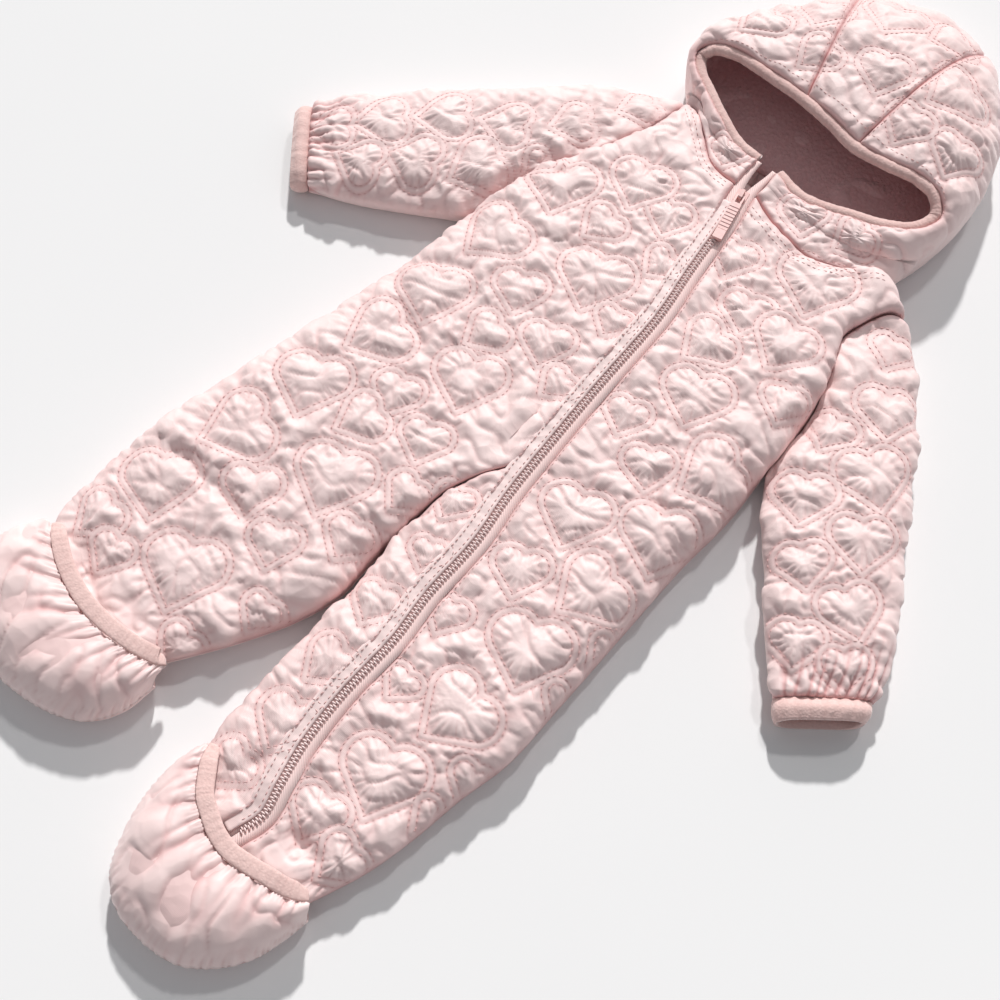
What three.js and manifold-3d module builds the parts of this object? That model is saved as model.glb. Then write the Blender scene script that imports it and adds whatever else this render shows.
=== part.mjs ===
import * as THREE from 'three';
import { mergeVertices } from 'three/addons/utils/BufferGeometryUtils.js';
import Module from 'manifold-3d';

// Baby snowsuit laid on its back. Millimetres, +Z up, +Y from the crotch to the hood, +X to the wearer's left.

// driving sizes
const WALL = 3.0;            // quilted cloth at a stitch line
const PUFF = 3.4;            // height of the quilting between stitch lines
const PUFF_REACH = 12;       // distance from a stitch line to full height
const CELL = 10.5;           // width of a mesh cell on quilted cloth
const GAP = 0.3;             // between neighbouring pieces
const SEAM_OFF = 1.25;       // from an armhole's edge to the sleeve's first ring
const SEAM_Z = 13;           // height of the side seams
const SLEEVE_SEAM = 12.5;    // height at which a sleeve turns over
const SEAM_ROUND = 32;       // width over which the front falls to a side seam
const UNDER_ROUND = 13;      // width over which the back leaves the surface at a side seam
const ZIP_HALF = 8;          // from the middle of the zip to the panels' edges
const LINING = 1.4;          // fleece of the hood
const PLAIN = 2.2;           // plain cloth of the booties
const BIND_R = 3.0;          // rolled binding of the face opening
const CUFF_WALL = 2.4;       // bound elastic of a cuff
const HEAD_FADE = 0.28;      // share of a panel's length that its head line shapes
const FOOT_FADE = 0.3;       // share of a panel's length that its foot line shapes
const ZIP_CLEAR = 14;        // cloth without folds on each side of the zip
const ZIP_FADE = 8;          // width over which the folds grow beside it
const SNAP = 4.4;            // mesh points this near a stitch line move onto it
const EDGE_RISE = 9;         // width over which the quilting rises at a piece's edge

const COLOURS = {
  shell: { color: 0xf7dcd9, roughness: 0.62 },
  fleece: { color: 0xd9a5a3, roughness: 0.95 },
  binding: { color: 0xe9c6be, roughness: 0.9 },
  zip: { color: 0xf3d3d0, roughness: 0.7 },
  slider: { color: 0xe6b7b5, roughness: 0.45 },
};

const clamp = (v, lo, hi) => Math.min(hi, Math.max(lo, v));
const mix = (a, b, q) => a + (b - a) * q;
const ease = (q) => {
  const c = clamp(q, 0, 1);
  return c * c * (3 - 2 * c);
};
// quarter-round rise from 0 to 1
const round = (q) => {
  const left = 1 - clamp(q, 0, 1);
  return Math.sqrt(Math.max(0, 1 - left * left));
};

// value read off a table of [place, value] rows
function stepped(rows) {
  return (q) => {
    if (q <= rows[0][0]) return rows[0][1];
    for (let i = 1; i < rows.length; i += 1) {
      if (q <= rows[i][0]) {
        const share = (q - rows[i - 1][0]) / (rows[i][0] - rows[i - 1][0]);
        return mix(rows[i - 1][1], rows[i][1], ease(share));
      }
    }
    return rows[rows.length - 1][1];
  };
}

// smooth line through [x, y] or [x, y, z] rows, asked for by its share of length
function line(rows) {
  const points = rows.map((r) => new THREE.Vector3(r[0], r[1], r[2] ?? 0));
  const curve = new THREE.CatmullRomCurve3(points, false, 'centripetal');
  curve.arcLengthDivisions = 300;
  curve.updateArcLengths();
  return (q) => curve.getPointAt(clamp(q, 0, 1));
}

// line moved sideways in plan, positive to the left of its run
function beside(curve, offset) {
  return (q) => {
    const a = curve(Math.max(0, q - 0.01));
    const b = curve(Math.min(1, q + 0.01));
    const run = Math.hypot(b.x - a.x, b.y - a.y);
    const at = curve(q);
    return new THREE.Vector3(at.x - ((b.y - a.y) / run) * offset, at.y + ((b.x - a.x) / run) * offset, at.z);
  };
}

// several lines end to end: each row is [share where it ends, line, from, to]
function joined(parts) {
  return (q) => {
    let start = 0;
    for (const [end, curve, from, to] of parts) {
      if (q <= end || end === 1) return curve(mix(from, to, clamp((q - start) / (end - start), 0, 1)));
      start = end;
    }
    return undefined;
  };
}

// middle of the zip in plan, from the face opening to the left ankle
const ZIP = [[2, 224], [3, 196], [10, 165], [18, 119], [26, 78], [31, 12], [35, -34], [40, -81], [47, -120],
  [49, -165], [54, -200], [55, -245], [59, -280], [66, -306], [71, -325], [67, -342], [62, -360]];

// plan of the garment, top to ankle or shoulder to cuff
const PLAN = {
  zip: line(ZIP),
  sideRight: line([[-130, 60], [-130, 31], [-135, -9], [-141, -51], [-150, -99], [-158, -146], [-167, -200],
    [-168, -245], [-166, -275], [-158, -292], [-150, -304]]),
  sideLeft: line([[145, 48], [149, 7], [148, -40], [150, -101], [152, -157], [153, -205], [147, -240],
    [143, -275], [137, -306], [129, -330], [121, -350]]),
  armRight: line([[-76, 233], [-84, 195], [-95, 158], [-111, 132], [-122, 103], [-130, 60]]),
  armLeft: line([[143, 197], [133, 190], [125, 172], [122, 152], [132, 130], [140, 104], [144, 76], [145, 48]]),
  crotch: line([[30, -64], [17, -85], [9, -105], [5, -130], [3, -150]]),
  inseamRight: line([[2.6, -150], [3.6, -175], [4.6, -200], [-3, -228], [-13, -250], [-25, -272], [-36, -290],
    [-46, -306], [-50, -316]]),
  inseamLeft: line([[3.4, -150], [6, -175], [7.5, -200], [8.5, -228], [10, -262], [11, -290],
    [13, -312], [20, -330], [26, -342]]),
  centreBack: line([[6, 221], [5, 60], [3, -150]]),
};

// folds and deep puckers of the upper side: ends, width and depth (below 0 is a raised fold)
const FOLDS = [
  { x1: -104, y1: 150, x2: -99, y2: 122, wide: 7, deep: 6 },
  { x1: -92, y1: 152, x2: -112, y2: 112, wide: 8, deep: -3 },
  { x1: -72, y1: 70, x2: -42, y2: 88, wide: 7, deep: 3 },
  { x1: -126, y1: 4, x2: -92, y2: 22, wide: 6, deep: 3 },
  { x1: 18, y1: 150, x2: 48, y2: 112, wide: 7, deep: 3.5 },
  { x1: 104, y1: 105, x2: 122, y2: 82, wide: 6, deep: 4 },
  { x1: 108, y1: 68, x2: 146, y2: 45, wide: 7, deep: 3 },
  { x1: 16, y1: -18, x2: 14, y2: -60, wide: 6, deep: 4 },
  { x1: 100, y1: -12, x2: 118, y2: -30, wide: 6, deep: 4 },
  { x1: -108, y1: -30, x2: -72, y2: -44, wide: 6, deep: 3 },
  { x1: 6, y1: -126, x2: 14, y2: -168, wide: 7, deep: 5 },
  { x1: -152, y1: -203, x2: -72, y2: -206, wide: 6, deep: 3.5 },
  { x1: -150, y1: -196, x2: -110, y2: -186, wide: 7, deep: -2.5 },
  { x1: -138, y1: -288, x2: -100, y2: -306, wide: 7, deep: 4 },
  { x1: 56, y1: -294, x2: 40, y2: -318, wide: 6, deep: 4 },
  { x1: 80, y1: -296, x2: 84, y2: -318, wide: 6, deep: 3 },
  { x1: 86, y1: -322, x2: 112, y2: -322, wide: 6, deep: 5 },
];

// folds die out at the zip, which keeps the front level
const zipX = stepped(ZIP.map(([x, y]) => [-y, x]));

function foldDepth(x, y) {
  const clear = ease((Math.abs(x - zipX(-y)) - ZIP_CLEAR) / ZIP_FADE);
  if (clear === 0) return 0;
  let total = 0;
  for (const f of FOLDS) {
    const dx = f.x2 - f.x1;
    const dy = f.y2 - f.y1;
    const q = ((x - f.x1) * dx + (y - f.y1) * dy) / (dx * dx + dy * dy);
    const k = clamp(q, 0, 1);
    const away = Math.hypot(x - f.x1 - k * dx, y - f.y1 - k * dy) / f.wide;
    if (away < 2) total += f.deep * Math.exp(-1.4 * away * away) * (1 - 0.45 * Math.abs(2 * k - 1));
  }
  return total * clear;
}

// height of the upper side away from its seams
const crownByY = stepped([[-362, 19], [-340, 21], [-300, 26], [-200, 31], [-100, 34], [60, 37], [160, 36],
  [230, 33]]);
function crown(x, y) {
  const rightLeg = x < 4 ? 42 * ease((-y - 140) / 110) : 0;
  return crownByY(y - rightLeg) - foldDepth(x, y);
}

// quilted hearts: middle, width and turn of the tip to the wearer's left, later rows lie over earlier ones
const HEARTS = [
  [-20, 142, 34, 20], [-52, 150, 46, 18], [-92, 112, 52, 24], [-50, 107, 34, -12], [-24, 70, 54, 20],
  [-98, 52, 50, -10], [-55, 30, 38, 26], [-15, 12, 38, 24], [-97, -10, 52, 26], [-50, -8, 34, -16],
  [-34, -42, 50, 24], [-102, -56, 50, -20], [-62, -80, 36, 16], [-25, -92, 36, 22], [-66, -108, 38, -22],
  [-108, -112, 52, 24], [-49, -150, 54, 20], [-120, -166, 52, -26], [-82, -190, 40, 32], [-8, -126, 32, 0],
  [-14, -172, 34, 12], [-45, -206, 36, 28], [-130, -226, 52, 34], [-75, -256, 56, 24], [-20, -242, 28, 6],
  [-142, -266, 36, -8], [-118, -278, 32, 12], [-42, -290, 32, 0], [6, 54, 28, 10], [0, 110, 30, -10],
  [10, -5, 28, -12], [18, -110, 30, 10],
  [86, 168, 54, 20], [32, 148, 36, 16], [66, 120, 38, 22], [99, 118, 46, 6], [62, 84, 40, -14],
  [126, 84, 34, 18], [82, 48, 48, 20], [125, 14, 52, -20], [58, 8, 32, 18], [92, -10, 36, 32],
  [128, -42, 52, 26], [80, -66, 48, 20], [120, -96, 50, -14], [80, -116, 38, 26], [118, -150, 54, 24],
  [152, -118, 26, -10], [153, -158, 26, 10], [66, -166, 30, 12], [112, -206, 52, -12], [76, -216, 26, 0],
  [107, -264, 54, 20], [146, -230, 28, 16], [143, -262, 26, -12], [94, -304, 38, 10], [122, -314, 34, -10],
  [28, -190, 34, 14], [34, -236, 36, -10], [42, -279, 42, 12], [36, -318, 34, -6], [30, -146, 26, 20],
  [-124, 160, 36, -34], [-158, 128, 40, -60], [-148, 88, 46, -20], [-196, 104, 44, -44], [-186, 62, 44, -66],
  [-226, 72, 44, -40], [-214, 36, 38, -70], [-250, 44, 38, -48], [-100, 205, 34, -30], [-118, 118, 28, -10],
  [152, 168, 32, 20], [178, 128, 44, 34], [160, 92, 34, 10], [200, 84, 50, 50], [176, 44, 42, 28],
  [222, 44, 44, 36], [204, 8, 36, 44], [244, 4, 42, 54], [232, -34, 36, 30], [264, -26, 34, 44],
  [-6, 372, 50, 10], [66, 344, 50, -22], [-46, 340, 40, 14], [96, 302, 38, 14], [-74, 306, 40, -18],
  [20, 320, 40, 20], [34, 388, 40, -30], [-24, 304, 34, -16], [58, 298, 36, 6], [46, 206, 34, 30],
  [82, 214, 32, -20], [-26, 212, 30, 20],
];

function heartDistance(x, y, heart) {
  const [hx, hy, size, turn] = heart;
  const a = (turn * Math.PI) / 180;
  const scale = size / 1.207;
  const px = Math.abs(((x - hx) * Math.cos(a) + (y - hy) * Math.sin(a)) / scale);
  const py = (-(x - hx) * Math.sin(a) + (y - hy) * Math.cos(a)) / scale + 0.58;
  if (px + py > 1) return (Math.hypot(px - 0.25, py - 0.75) - Math.SQRT2 / 4) * scale;
  const k = 0.5 * Math.max(px + py, 0);
  const near = Math.sqrt(Math.min(px * px + (py - 1) * (py - 1), (px - k) * (px - k) + (py - k) * (py - k)));
  return near * Math.sign(px - py) * scale;
}

// distance to the nearest stitch line that shows
function stitchDistance(x, y) {
  let near = 60;
  for (const heart of HEARTS) {
    if (Math.abs(x - heart[0]) > 70 || Math.abs(y - heart[1]) > 70) continue;
    const d = heartDistance(x, y, heart);
    near = d < 0 ? -d : Math.min(near, d);
  }
  return near;
}

function puffed(distance) {
  const left = 1 - clamp(distance / PUFF_REACH, 0, 1);
  return PUFF * (1 - left * left);
}

// a panel between four lines, its height falling to each side's own height
function panel(spec) {
  const { left, right, head, foot, top, sides, length } = spec;
  const point = (s, t) => {
    const a = left(s);
    const b = right(s);
    const wide = Math.hypot(b.x - a.x, b.y - a.y);
    let x = mix(a.x, b.x, t);
    let y = mix(a.y, b.y, t);
    if (head) {
      const fade = 1 - ease(s / HEAD_FADE);
      const h = head(t);
      const h0 = head(0);
      const h1 = head(1);
      x += (h.x - mix(h0.x, h1.x, t)) * fade;
      y += (h.y - mix(h0.y, h1.y, t)) * fade;
    }
    if (foot) {
      const fade = ease((s - 1 + FOOT_FADE) / FOOT_FADE);
      const f = foot(t);
      const f0 = foot(0);
      const f1 = foot(1);
      x += (f.x - mix(f0.x, f1.x, t)) * fade;
      y += (f.y - mix(f0.y, f1.y, t)) * fade;
    }
    const high = top(x, y);
    const away = { left: t * wide, right: (1 - t) * wide, head: s * length, foot: (1 - s) * length };
    let drop = 0;
    for (const side of sides) {
      const place = side.on === 'left' || side.on === 'right' ? s : t;
      const reach = typeof side.wide === 'function' ? side.wide(place) : side.wide;
      const own = (high - side.z(place, x, y)) * (1 - round(away[side.on] / reach));
      if (Math.abs(own) > Math.abs(drop)) drop = own;
    }
    return new THREE.Vector3(x, y, high - drop);
  };
  const edge = (s, t) => {
    const wide = left(s).distanceTo(right(s));
    const plainLeft = spec.plain?.left?.(s) ?? 0;
    const plainRight = spec.plain?.right?.(s, wide) ?? 0;
    const across = Math.min(t * wide - plainLeft, (1 - t) * wide - plainRight);
    return Math.max(0, Math.min(across, s * length, (1 - s) * length));
  };
  return { point, edge };
}

// outward normal of a surface given as a function of two shares
function normalAt(point, s, t, facing, wrap) {
  const h = 0.0008;
  const s0 = Math.max(0, s - h);
  const s1 = Math.min(1, s + h);
  const t0 = wrap ? t - h : Math.max(0, t - h);
  const t1 = wrap ? t + h : Math.min(1, t + h);
  const ds = point(s1, t).sub(point(s0, t));
  const dt = point(s, t1).sub(point(s, t0));
  return ds.cross(dt).normalize().multiplyScalar(facing);
}

// places across a width: given distances at each end, even between them
const ROUNDED = [0, 1.2, 4, 8.5];
const RESTING = [0, 3, 8, 13];
const SQUARE = [0];
function places(total, head, end, cell) {
  const tail = end.map((d) => total - d).reverse();
  const from = head[head.length - 1];
  const to = tail[0];
  let count = Math.max(1, Math.round((to - from) / cell));
  if ((head.length + tail.length + count) % 2 === 1) count += 1;
  const list = [...head];
  for (let i = 1; i < count; i += 1) list.push(mix(from, to, i / count));
  list.push(...tail);
  return list.map((d) => d / total);
}

// closed body from an outer grid and an inner grid, which has half as many cells each way or as many
function shellMesh(name, look, outer, inner, wrap) {
  const rows = outer.length;
  const same = inner.length === rows;
  const cols = outer[0].length;
  const points = [];
  const outId = outer.map((row) => row.map((p) => points.push(p) - 1));
  const inId = inner.map((row) => row.map((p) => points.push(p) - 1));
  const tris = [];
  const quad = (a, b, c, d) => tris.push([a, b, c], [a, c, d]);
  const lastCol = wrap ? cols : cols - 1;
  for (let i = 0; i < rows - 1; i += 1) {
    for (let j = 0; j < lastCol; j += 1) {
      const k = (j + 1) % cols;
      const even = same || (i + j) % 2 === 0;
      const [a, b, c, d] = [outId[i][j], outId[i + 1][j], outId[i + 1][k], outId[i][k]];
      if (even) quad(a, b, c, d);
      else quad(b, c, d, a);
    }
  }
  const inCols = inner[0].length;
  const lastIn = wrap ? inCols : inCols - 1;
  for (let i = 0; i < inner.length - 1; i += 1) {
    for (let j = 0; j < lastIn; j += 1) {
      const k = (j + 1) % inCols;
      quad(inId[i][j], inId[i][k], inId[i + 1][k], inId[i + 1][j]);
    }
  }
  // rim: two outer cells to one inner cell, or one to one where both grids are alike
  const rim = (out, inn) => {
    for (let j = 0; j < inn.length - 1; j += 1) {
      if (same) {
        quad(out[j], out[j + 1], inn[j + 1], inn[j]);
        continue;
      }
      const [o0, o1, o2] = [out[2 * j], out[2 * j + 1], out[2 * j + 2]];
      tris.push([o0, o1, inn[j]], [o1, inn[j + 1], inn[j]], [o1, o2, inn[j + 1]]);
    }
  };
  const closeRing = (list) => (wrap ? [...list, list[0]] : list);
  rim(closeRing(outId[0]), closeRing(inId[0]));
  rim(closeRing(outId[rows - 1]).slice().reverse(), closeRing(inId[inner.length - 1]).slice().reverse());
  if (!wrap) {
    rim(outId.map((r) => r[0]).reverse(), inId.map((r) => r[0]).reverse());
    rim(outId.map((r) => r[cols - 1]), inId.map((r) => r[inCols - 1]));
  }
  return bodyMesh(name, look, points, tris);
}

function bodyMesh(name, look, points, tris) {
  let volume = 0;
  for (const [a, b, c] of tris) volume += points[a].dot(new THREE.Vector3().crossVectors(points[b], points[c]));
  const flat = new Float32Array(points.length * 3);
  points.forEach((p, i) => p.toArray(flat, 3 * i));
  const geometry = new THREE.BufferGeometry();
  geometry.setAttribute('position', new THREE.BufferAttribute(flat, 3));
  geometry.setIndex((volume < 0 ? tris.map(([a, b, c]) => [a, c, b]) : tris).flat());
  geometry.computeVertexNormals();
  const { color, roughness } = COLOURS[look];
  const mesh = new THREE.Mesh(geometry, new THREE.MeshStandardMaterial({ color, roughness, metalness: 0 }));
  mesh.name = name;
  return mesh;
}

// quilted or plain cloth over a surface: raised outer points over a plain inside
function cloth(name, look, surface, sList, tList, options) {
  const { wall, facing, quilt = true, wrap = false, raise } = options;
  const outer = sList.map((s) => tList.map((t) => {
    const p = surface.point(s, t);
    const n = normalAt(surface.point, s, t, facing, wrap);
    const edge = surface.edge(s, t);
    let lift = 0;
    if (quilt && n.z > 0.2 && edge > 0.5) {
      const d = stitchDistance(p.x, p.y);
      if (d < SNAP && edge > 2 * SNAP && n.z > 0.6) {
        const gx = stitchDistance(p.x + 0.4, p.y) - stitchDistance(p.x - 0.4, p.y);
        const gy = stitchDistance(p.x, p.y + 0.4) - stitchDistance(p.x, p.y - 0.4);
        const g = Math.hypot(gx, gy) || 1;
        const dx = (-gx / g) * d;
        const dy = (-gy / g) * d;
        p.x += dx;
        p.y += dy;
        p.z -= (n.x * dx + n.y * dy) / n.z;
      } else {
        lift = puffed(d) * round(edge / EDGE_RISE) * clamp((n.z - 0.2) / 0.4, 0, 1);
      }
    }
    if (raise) lift += raise(s, t);
    return p.addScaledVector(n, lift);
  }));
  const half = (list) => list.filter((_, i) => i % 2 === 0);
  const inner = half(sList).map((s) => half(tList).map((t) => {
    const n = normalAt(surface.point, s, t, facing, wrap);
    return surface.point(s, t).addScaledVector(n, -wall);
  }));
  return shellMesh(name, look, outer, inner, wrap);
}

const group = new THREE.Group();

// heights of the panels' edges: side seams, then the front and back of each armhole
const seamTop = () => SEAM_Z + 1.4 * GAP;
const seamUnder = () => SEAM_Z - 1.4 * GAP;
function armRise(rows) {
  const table = stepped(rows);
  return (q) => seamTop() + (table(q) - seamTop()) * Math.min(round(q / 0.09), round((1 - q) / 0.14));
}
const armTop = {
  right: armRise([[0, 27], [0.55, 26], [0.8, 22], [1, 18]]),
  left: armRise([[0, 26], [0.4, 25], [0.58, 19], [0.85, 16], [1, 15]]),
};
const armUnder = (q) => seamUnder() * (1 - round(Math.min(q, 1 - q) / 0.11));

const ARM_SHARE = { right: 0.33, left: 0.29 };
const sideHeight = (side) => ({
  top: (s) => (s < ARM_SHARE[side] ? armTop[side](s / ARM_SHARE[side]) : seamTop()),
  under: (s) => (s < ARM_SHARE[side] ? armUnder(s / ARM_SHARE[side]) : seamUnder()),
});

const zipRight = beside(PLAN.zip, -ZIP_HALF - GAP / 2);
const zipLeft = beside(PLAN.zip, ZIP_HALF + GAP / 2);

// share of a line at which it passes a given y
function shareAtY(curve, y) {
  let lo = 0;
  let hi = 1;
  for (let i = 0; i < 40; i += 1) {
    const mid = (lo + hi) / 2;
    if (curve(mid).y > y) lo = mid;
    else hi = mid;
  }
  return lo;
}

const zipStart = shareAtY(PLAN.zip, 196);
const zipFork = shareAtY(zipRight, -64);
const CROTCH = { right: [0.52, 0.7], left: 0.33 };

// height along the crotch seam, from the zip to the crotch point
const crotchDrop = stepped([[0, 1], [0.5, 4], [0.8, 9], [1, 21]]);
const crotchHeight = (q, x, y) => Math.max(seamTop(), crown(x, y) - crotchDrop(q));

const frontRight = panel({
  length: 520,
  left: joined([[ARM_SHARE.right, PLAN.armRight, 0, 1], [1, PLAN.sideRight, 0, 1]]),
  right: joined([[CROTCH.right[0], zipRight, zipStart, zipFork],
    [CROTCH.right[1], beside(PLAN.crotch, -GAP / 2), 0, 1], [1, PLAN.inseamRight, 0, 1]]),
  head: line([[-76, 233], [-62, 226], [-48, 214], [-28, 199], [-5, 196]]),
  foot: line([[-150, -304], [-122, -318], [-88, -325], [-62, -322], [-50, -316]]),
  top: crown,
  sides: [
    { on: 'left', wide: (s) => mix(18, SEAM_ROUND, ease((s - 0.24) / 0.1)), z: sideHeight('right').top },
    {
      on: 'right',
      wide: (s) => mix(16, 26, ease((s - 0.66) / 0.1)),
      z: (s, x, y) => {
        if (s < CROTCH.right[0]) return crown(x, y);
        return s < CROTCH.right[1] ? crotchHeight((s - 0.52) / 0.18, x, y) : seamTop();
      },
    },
    {
      on: 'head',
      wide: 18,
      z: (t, x, y) => Math.min(crown(x, y), seamTop() + mix(15, 27, t) * round(t / 0.25)),
    },
  ],
  plain: { right: (s) => 8.6 * (1 - ease((s - 0.55) / 0.04)) },
});

const frontLeft = panel({
  length: 545,
  left: joined([[1, zipLeft, zipStart, 1]]),
  right: joined([[ARM_SHARE.left, PLAN.armLeft, 0, 1], [1, PLAN.sideLeft, 0, 1]]),
  head: line([[11, 197], [35, 188], [65, 184], [88, 193], [104, 205], [117, 212], [131, 206], [143, 197]]),
  top: crown,
  sides: [
    { on: 'right', wide: (s) => mix(18, SEAM_ROUND, ease((s - 0.2) / 0.1)), z: sideHeight('left').top },
    {
      on: 'head',
      wide: 18,
      z: (t, x, y) => Math.min(crown(x, y), seamTop() + mix(27, 14, t / 0.79) * round((0.79 - t) / 0.2)),
    },
  ],
  plain: { left: () => 4 },
});

const legLeftInner = panel({
  length: 292,
  left: joined([[CROTCH.left, beside(PLAN.crotch, GAP / 2), 0.03, 1], [1, PLAN.inseamLeft, 0, 1]]),
  right: joined([[1, zipRight, zipFork + 0.012, 1]]),
  top: crown,
  sides: [{
    on: 'left',
    wide: (s) => mix(16, 26, ease((s - 0.28) / 0.15)),
    z: (s, x, y) => (s < CROTCH.left ? crotchHeight(s / CROTCH.left, x, y) : seamTop()),
  }],
  plain: { right: (s, wide) => Math.max(6.6, 0.19 * wide) },
});

const backHeight = (crotchShare) => (s) => {
  if (s > crotchShare) return seamUnder();
  return seamUnder() * (1 - round((crotchShare - s) / 0.06));
};
const backNeck = {
  right: line([[-76, 233], [-40, 226], [6, 221]]),
  left: line([[6, 221], [60, 217], [117, 212], [131, 206], [143, 197]]),
};

const backRight = panel({
  length: 520,
  left: joined([[ARM_SHARE.right, PLAN.armRight, 0, 1], [1, PLAN.sideRight, 0, 1]]),
  right: joined([[0.7, beside(PLAN.centreBack, -GAP / 2), 0, 1], [1, PLAN.inseamRight, 0, 1]]),
  head: backNeck.right,
  top: () => 0,
  sides: [
    { on: 'left', wide: UNDER_ROUND, z: sideHeight('right').under },
    { on: 'right', wide: UNDER_ROUND, z: backHeight(0.7) },
    { on: 'head', wide: UNDER_ROUND, z: (t) => seamUnder() * (1 - round(t / 0.14)) },
  ],
});

const backLeft = panel({
  length: 545,
  left: joined([[0.62, beside(PLAN.centreBack, GAP / 2), 0, 1], [1, PLAN.inseamLeft, 0, 1]]),
  right: joined([[ARM_SHARE.left, PLAN.armLeft, 0, 1], [1, PLAN.sideLeft, 0, 1]]),
  head: backNeck.left,
  top: () => 0,
  sides: [
    { on: 'left', wide: UNDER_ROUND, z: backHeight(0.62) },
    { on: 'right', wide: UNDER_ROUND, z: sideHeight('left').under },
    { on: 'head', wide: UNDER_ROUND, z: (t) => seamUnder() * (1 - round((0.79 - t) / 0.14)) },
  ],
});

// rows of a back panel, closer together beside the armhole
function backPlaces(length, armShare) {
  const head = [...RESTING];
  while (head[head.length - 1] < armShare * length - 8) head.push(head[head.length - 1] + 8);
  return places(length, head, SQUARE, 24);
}

const quilted = { wall: WALL, facing: 1 };
const resting = { wall: WALL, facing: -1, quilt: false };
group.add(
  cloth('front_right', 'shell', frontRight,
    places(520, ROUNDED, SQUARE, CELL), places(134, ROUNDED, ROUNDED, CELL), quilted),
  cloth('front_left', 'shell', frontLeft,
    places(545, ROUNDED, SQUARE, CELL), places(112, SQUARE, ROUNDED, CELL), quilted),
  cloth('leg_left_inner', 'shell', legLeftInner,
    places(292, SQUARE, SQUARE, CELL), places(36, ROUNDED, [0, 6.5], CELL), quilted),
  cloth('back_right', 'shell', backRight,
    backPlaces(520, ARM_SHARE.right), places(138, RESTING, RESTING, 30), resting),
  cloth('back_left', 'shell', backLeft,
    backPlaces(545, ARM_SHARE.left), places(138, RESTING, RESTING, 30), resting),
);

// a sleeve or cuff: closed round, lying flat, from a lower to an upper edge line
function sleeveSurface(spec) {
  const { low, high, height, length, arm } = spec;
  const a0 = low(0).add(high(0)).multiplyScalar(0.5);
  const axis = low(0.4).add(high(0.4)).multiplyScalar(0.5).sub(a0).normalize();
  const armAt = (top, t) => (top ? arm.front : arm.back).point(arm.share * (1 - t), arm.side);
  const place = (k) => {
    const turn = k - Math.floor(k);
    const top = turn < 0.5;
    return { top, t: top ? 2 * turn : 2 * (1 - turn) };
  };
  const point = (s, k) => {
    const { top, t } = place(k);
    const a = low(s);
    const b = high(s);
    const wide = Math.hypot(b.x - a.x, b.y - a.y);
    let x = mix(a.x, b.x, t);
    let y = mix(a.y, b.y, t);
    const away = Math.min(t, 1 - t) * wide;
    const tall = height(s) - foldDepth(x, y);
    const upper = SLEEVE_SEAM + (tall - SLEEVE_SEAM) * round(away / (0.34 * wide));
    let z = top ? upper : SLEEVE_SEAM * (1 - round(away / UNDER_ROUND));
    if (arm) {
      const fade = 1 - ease(s / 0.3);
      const here = armAt(top, t);
      const ends = [armAt(top, 0), armAt(top, 1)];
      const off = (SEAM_OFF + (top ? 0 : 1.8 * round(Math.min(t, 1 - t) / 0.15))) * (1 - ease(s / 0.9));
      x += (here.x - mix(ends[0].x, ends[1].x, t)) * fade + off * axis.x;
      y += (here.y - mix(ends[0].y, ends[1].y, t)) * fade + off * axis.y;
      z = mix(z, here.z, 1 - ease((s * length) / 24));
    }
    return new THREE.Vector3(x, y, z);
  };
  const edge = (s, k) => {
    const { t } = place(k);
    return Math.min(s * length, (1 - s) * length, Math.min(t, 1 - t) * low(s).distanceTo(high(s)));
  };
  return { point, edge };
}

// places round a sleeve: the upper side from edge to edge, then back underneath
function roundPlaces(wide, cell, underCell, close) {
  const upper = places(wide, close, close, cell).map((t) => t / 2);
  const under = places(wide, RESTING, RESTING, underCell).slice(1, -1).map((t) => 0.5 + t / 2);
  return [...upper, ...under];
}

const sleeveRight = sleeveSurface({
  length: 190,
  low: line([[-130, 60], [-152, 46], [-175, 31], [-196, 18], [-216, 8], [-232, 2]]),
  high: line([[-76, 233], [-108, 225], [-136, 204], [-163, 179], [-189, 153], [-215, 128], [-240, 101],
    [-262, 76], [-279, 53]]),
  height: stepped([[0, 31], [0.5, 30], [0.85, 27], [1, 22]]),
  arm: { front: frontRight, back: backRight, side: 0, share: ARM_SHARE.right },
});
const sleeveLeft = sleeveSurface({
  length: 205,
  low: line([[145, 48], [158, 28], [176, 6], [190, -9], [203, -26], [220, -45], [242, -66]]),
  high: line([[143, 197], [160, 185], [184, 157], [208, 124], [226, 93], [240, 68], [262, 32], [279, 1],
    [288, -27]]),
  height: stepped([[0, 30], [0.5, 31], [0.85, 27], [1, 22]]),
  arm: { front: frontLeft, back: backLeft, side: 1, share: ARM_SHARE.left },
});
const cuffRight = sleeveSurface({
  length: 11,
  low: line([[-232.3, 1.7], [-237, -2], [-242, -6]]),
  high: line([[-279.3, 52.6], [-283, 48], [-286, 42]]),
  height: stepped([[0, 21], [0.5, 22], [1, 19]]),
});
const cuffLeft = sleeveSurface({
  length: 12,
  low: line([[242.3, -66.4], [247, -71], [252, -77]]),
  high: line([[288.2, -27.5], [291, -34], [293, -41]]),
  height: stepped([[0, 21], [0.5, 24], [1, 23]]),
});
const gathers = (count, deep, from) => (s, k) => {
  const near = ease((s - from) / (1 - from)) * (1 - ease((s - 0.97) / 0.03));
  return deep * near * Math.sin(2 * Math.PI * (count * k + 0.35 * Math.sin(17 * k))) * (k < 0.5 ? 1 : 0);
};
const roundSleeve = roundPlaces(105, 10, 10, ROUNDED);
const roundCuff = roundPlaces(66, 9, 22, [0, 2.5, 7]);
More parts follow.
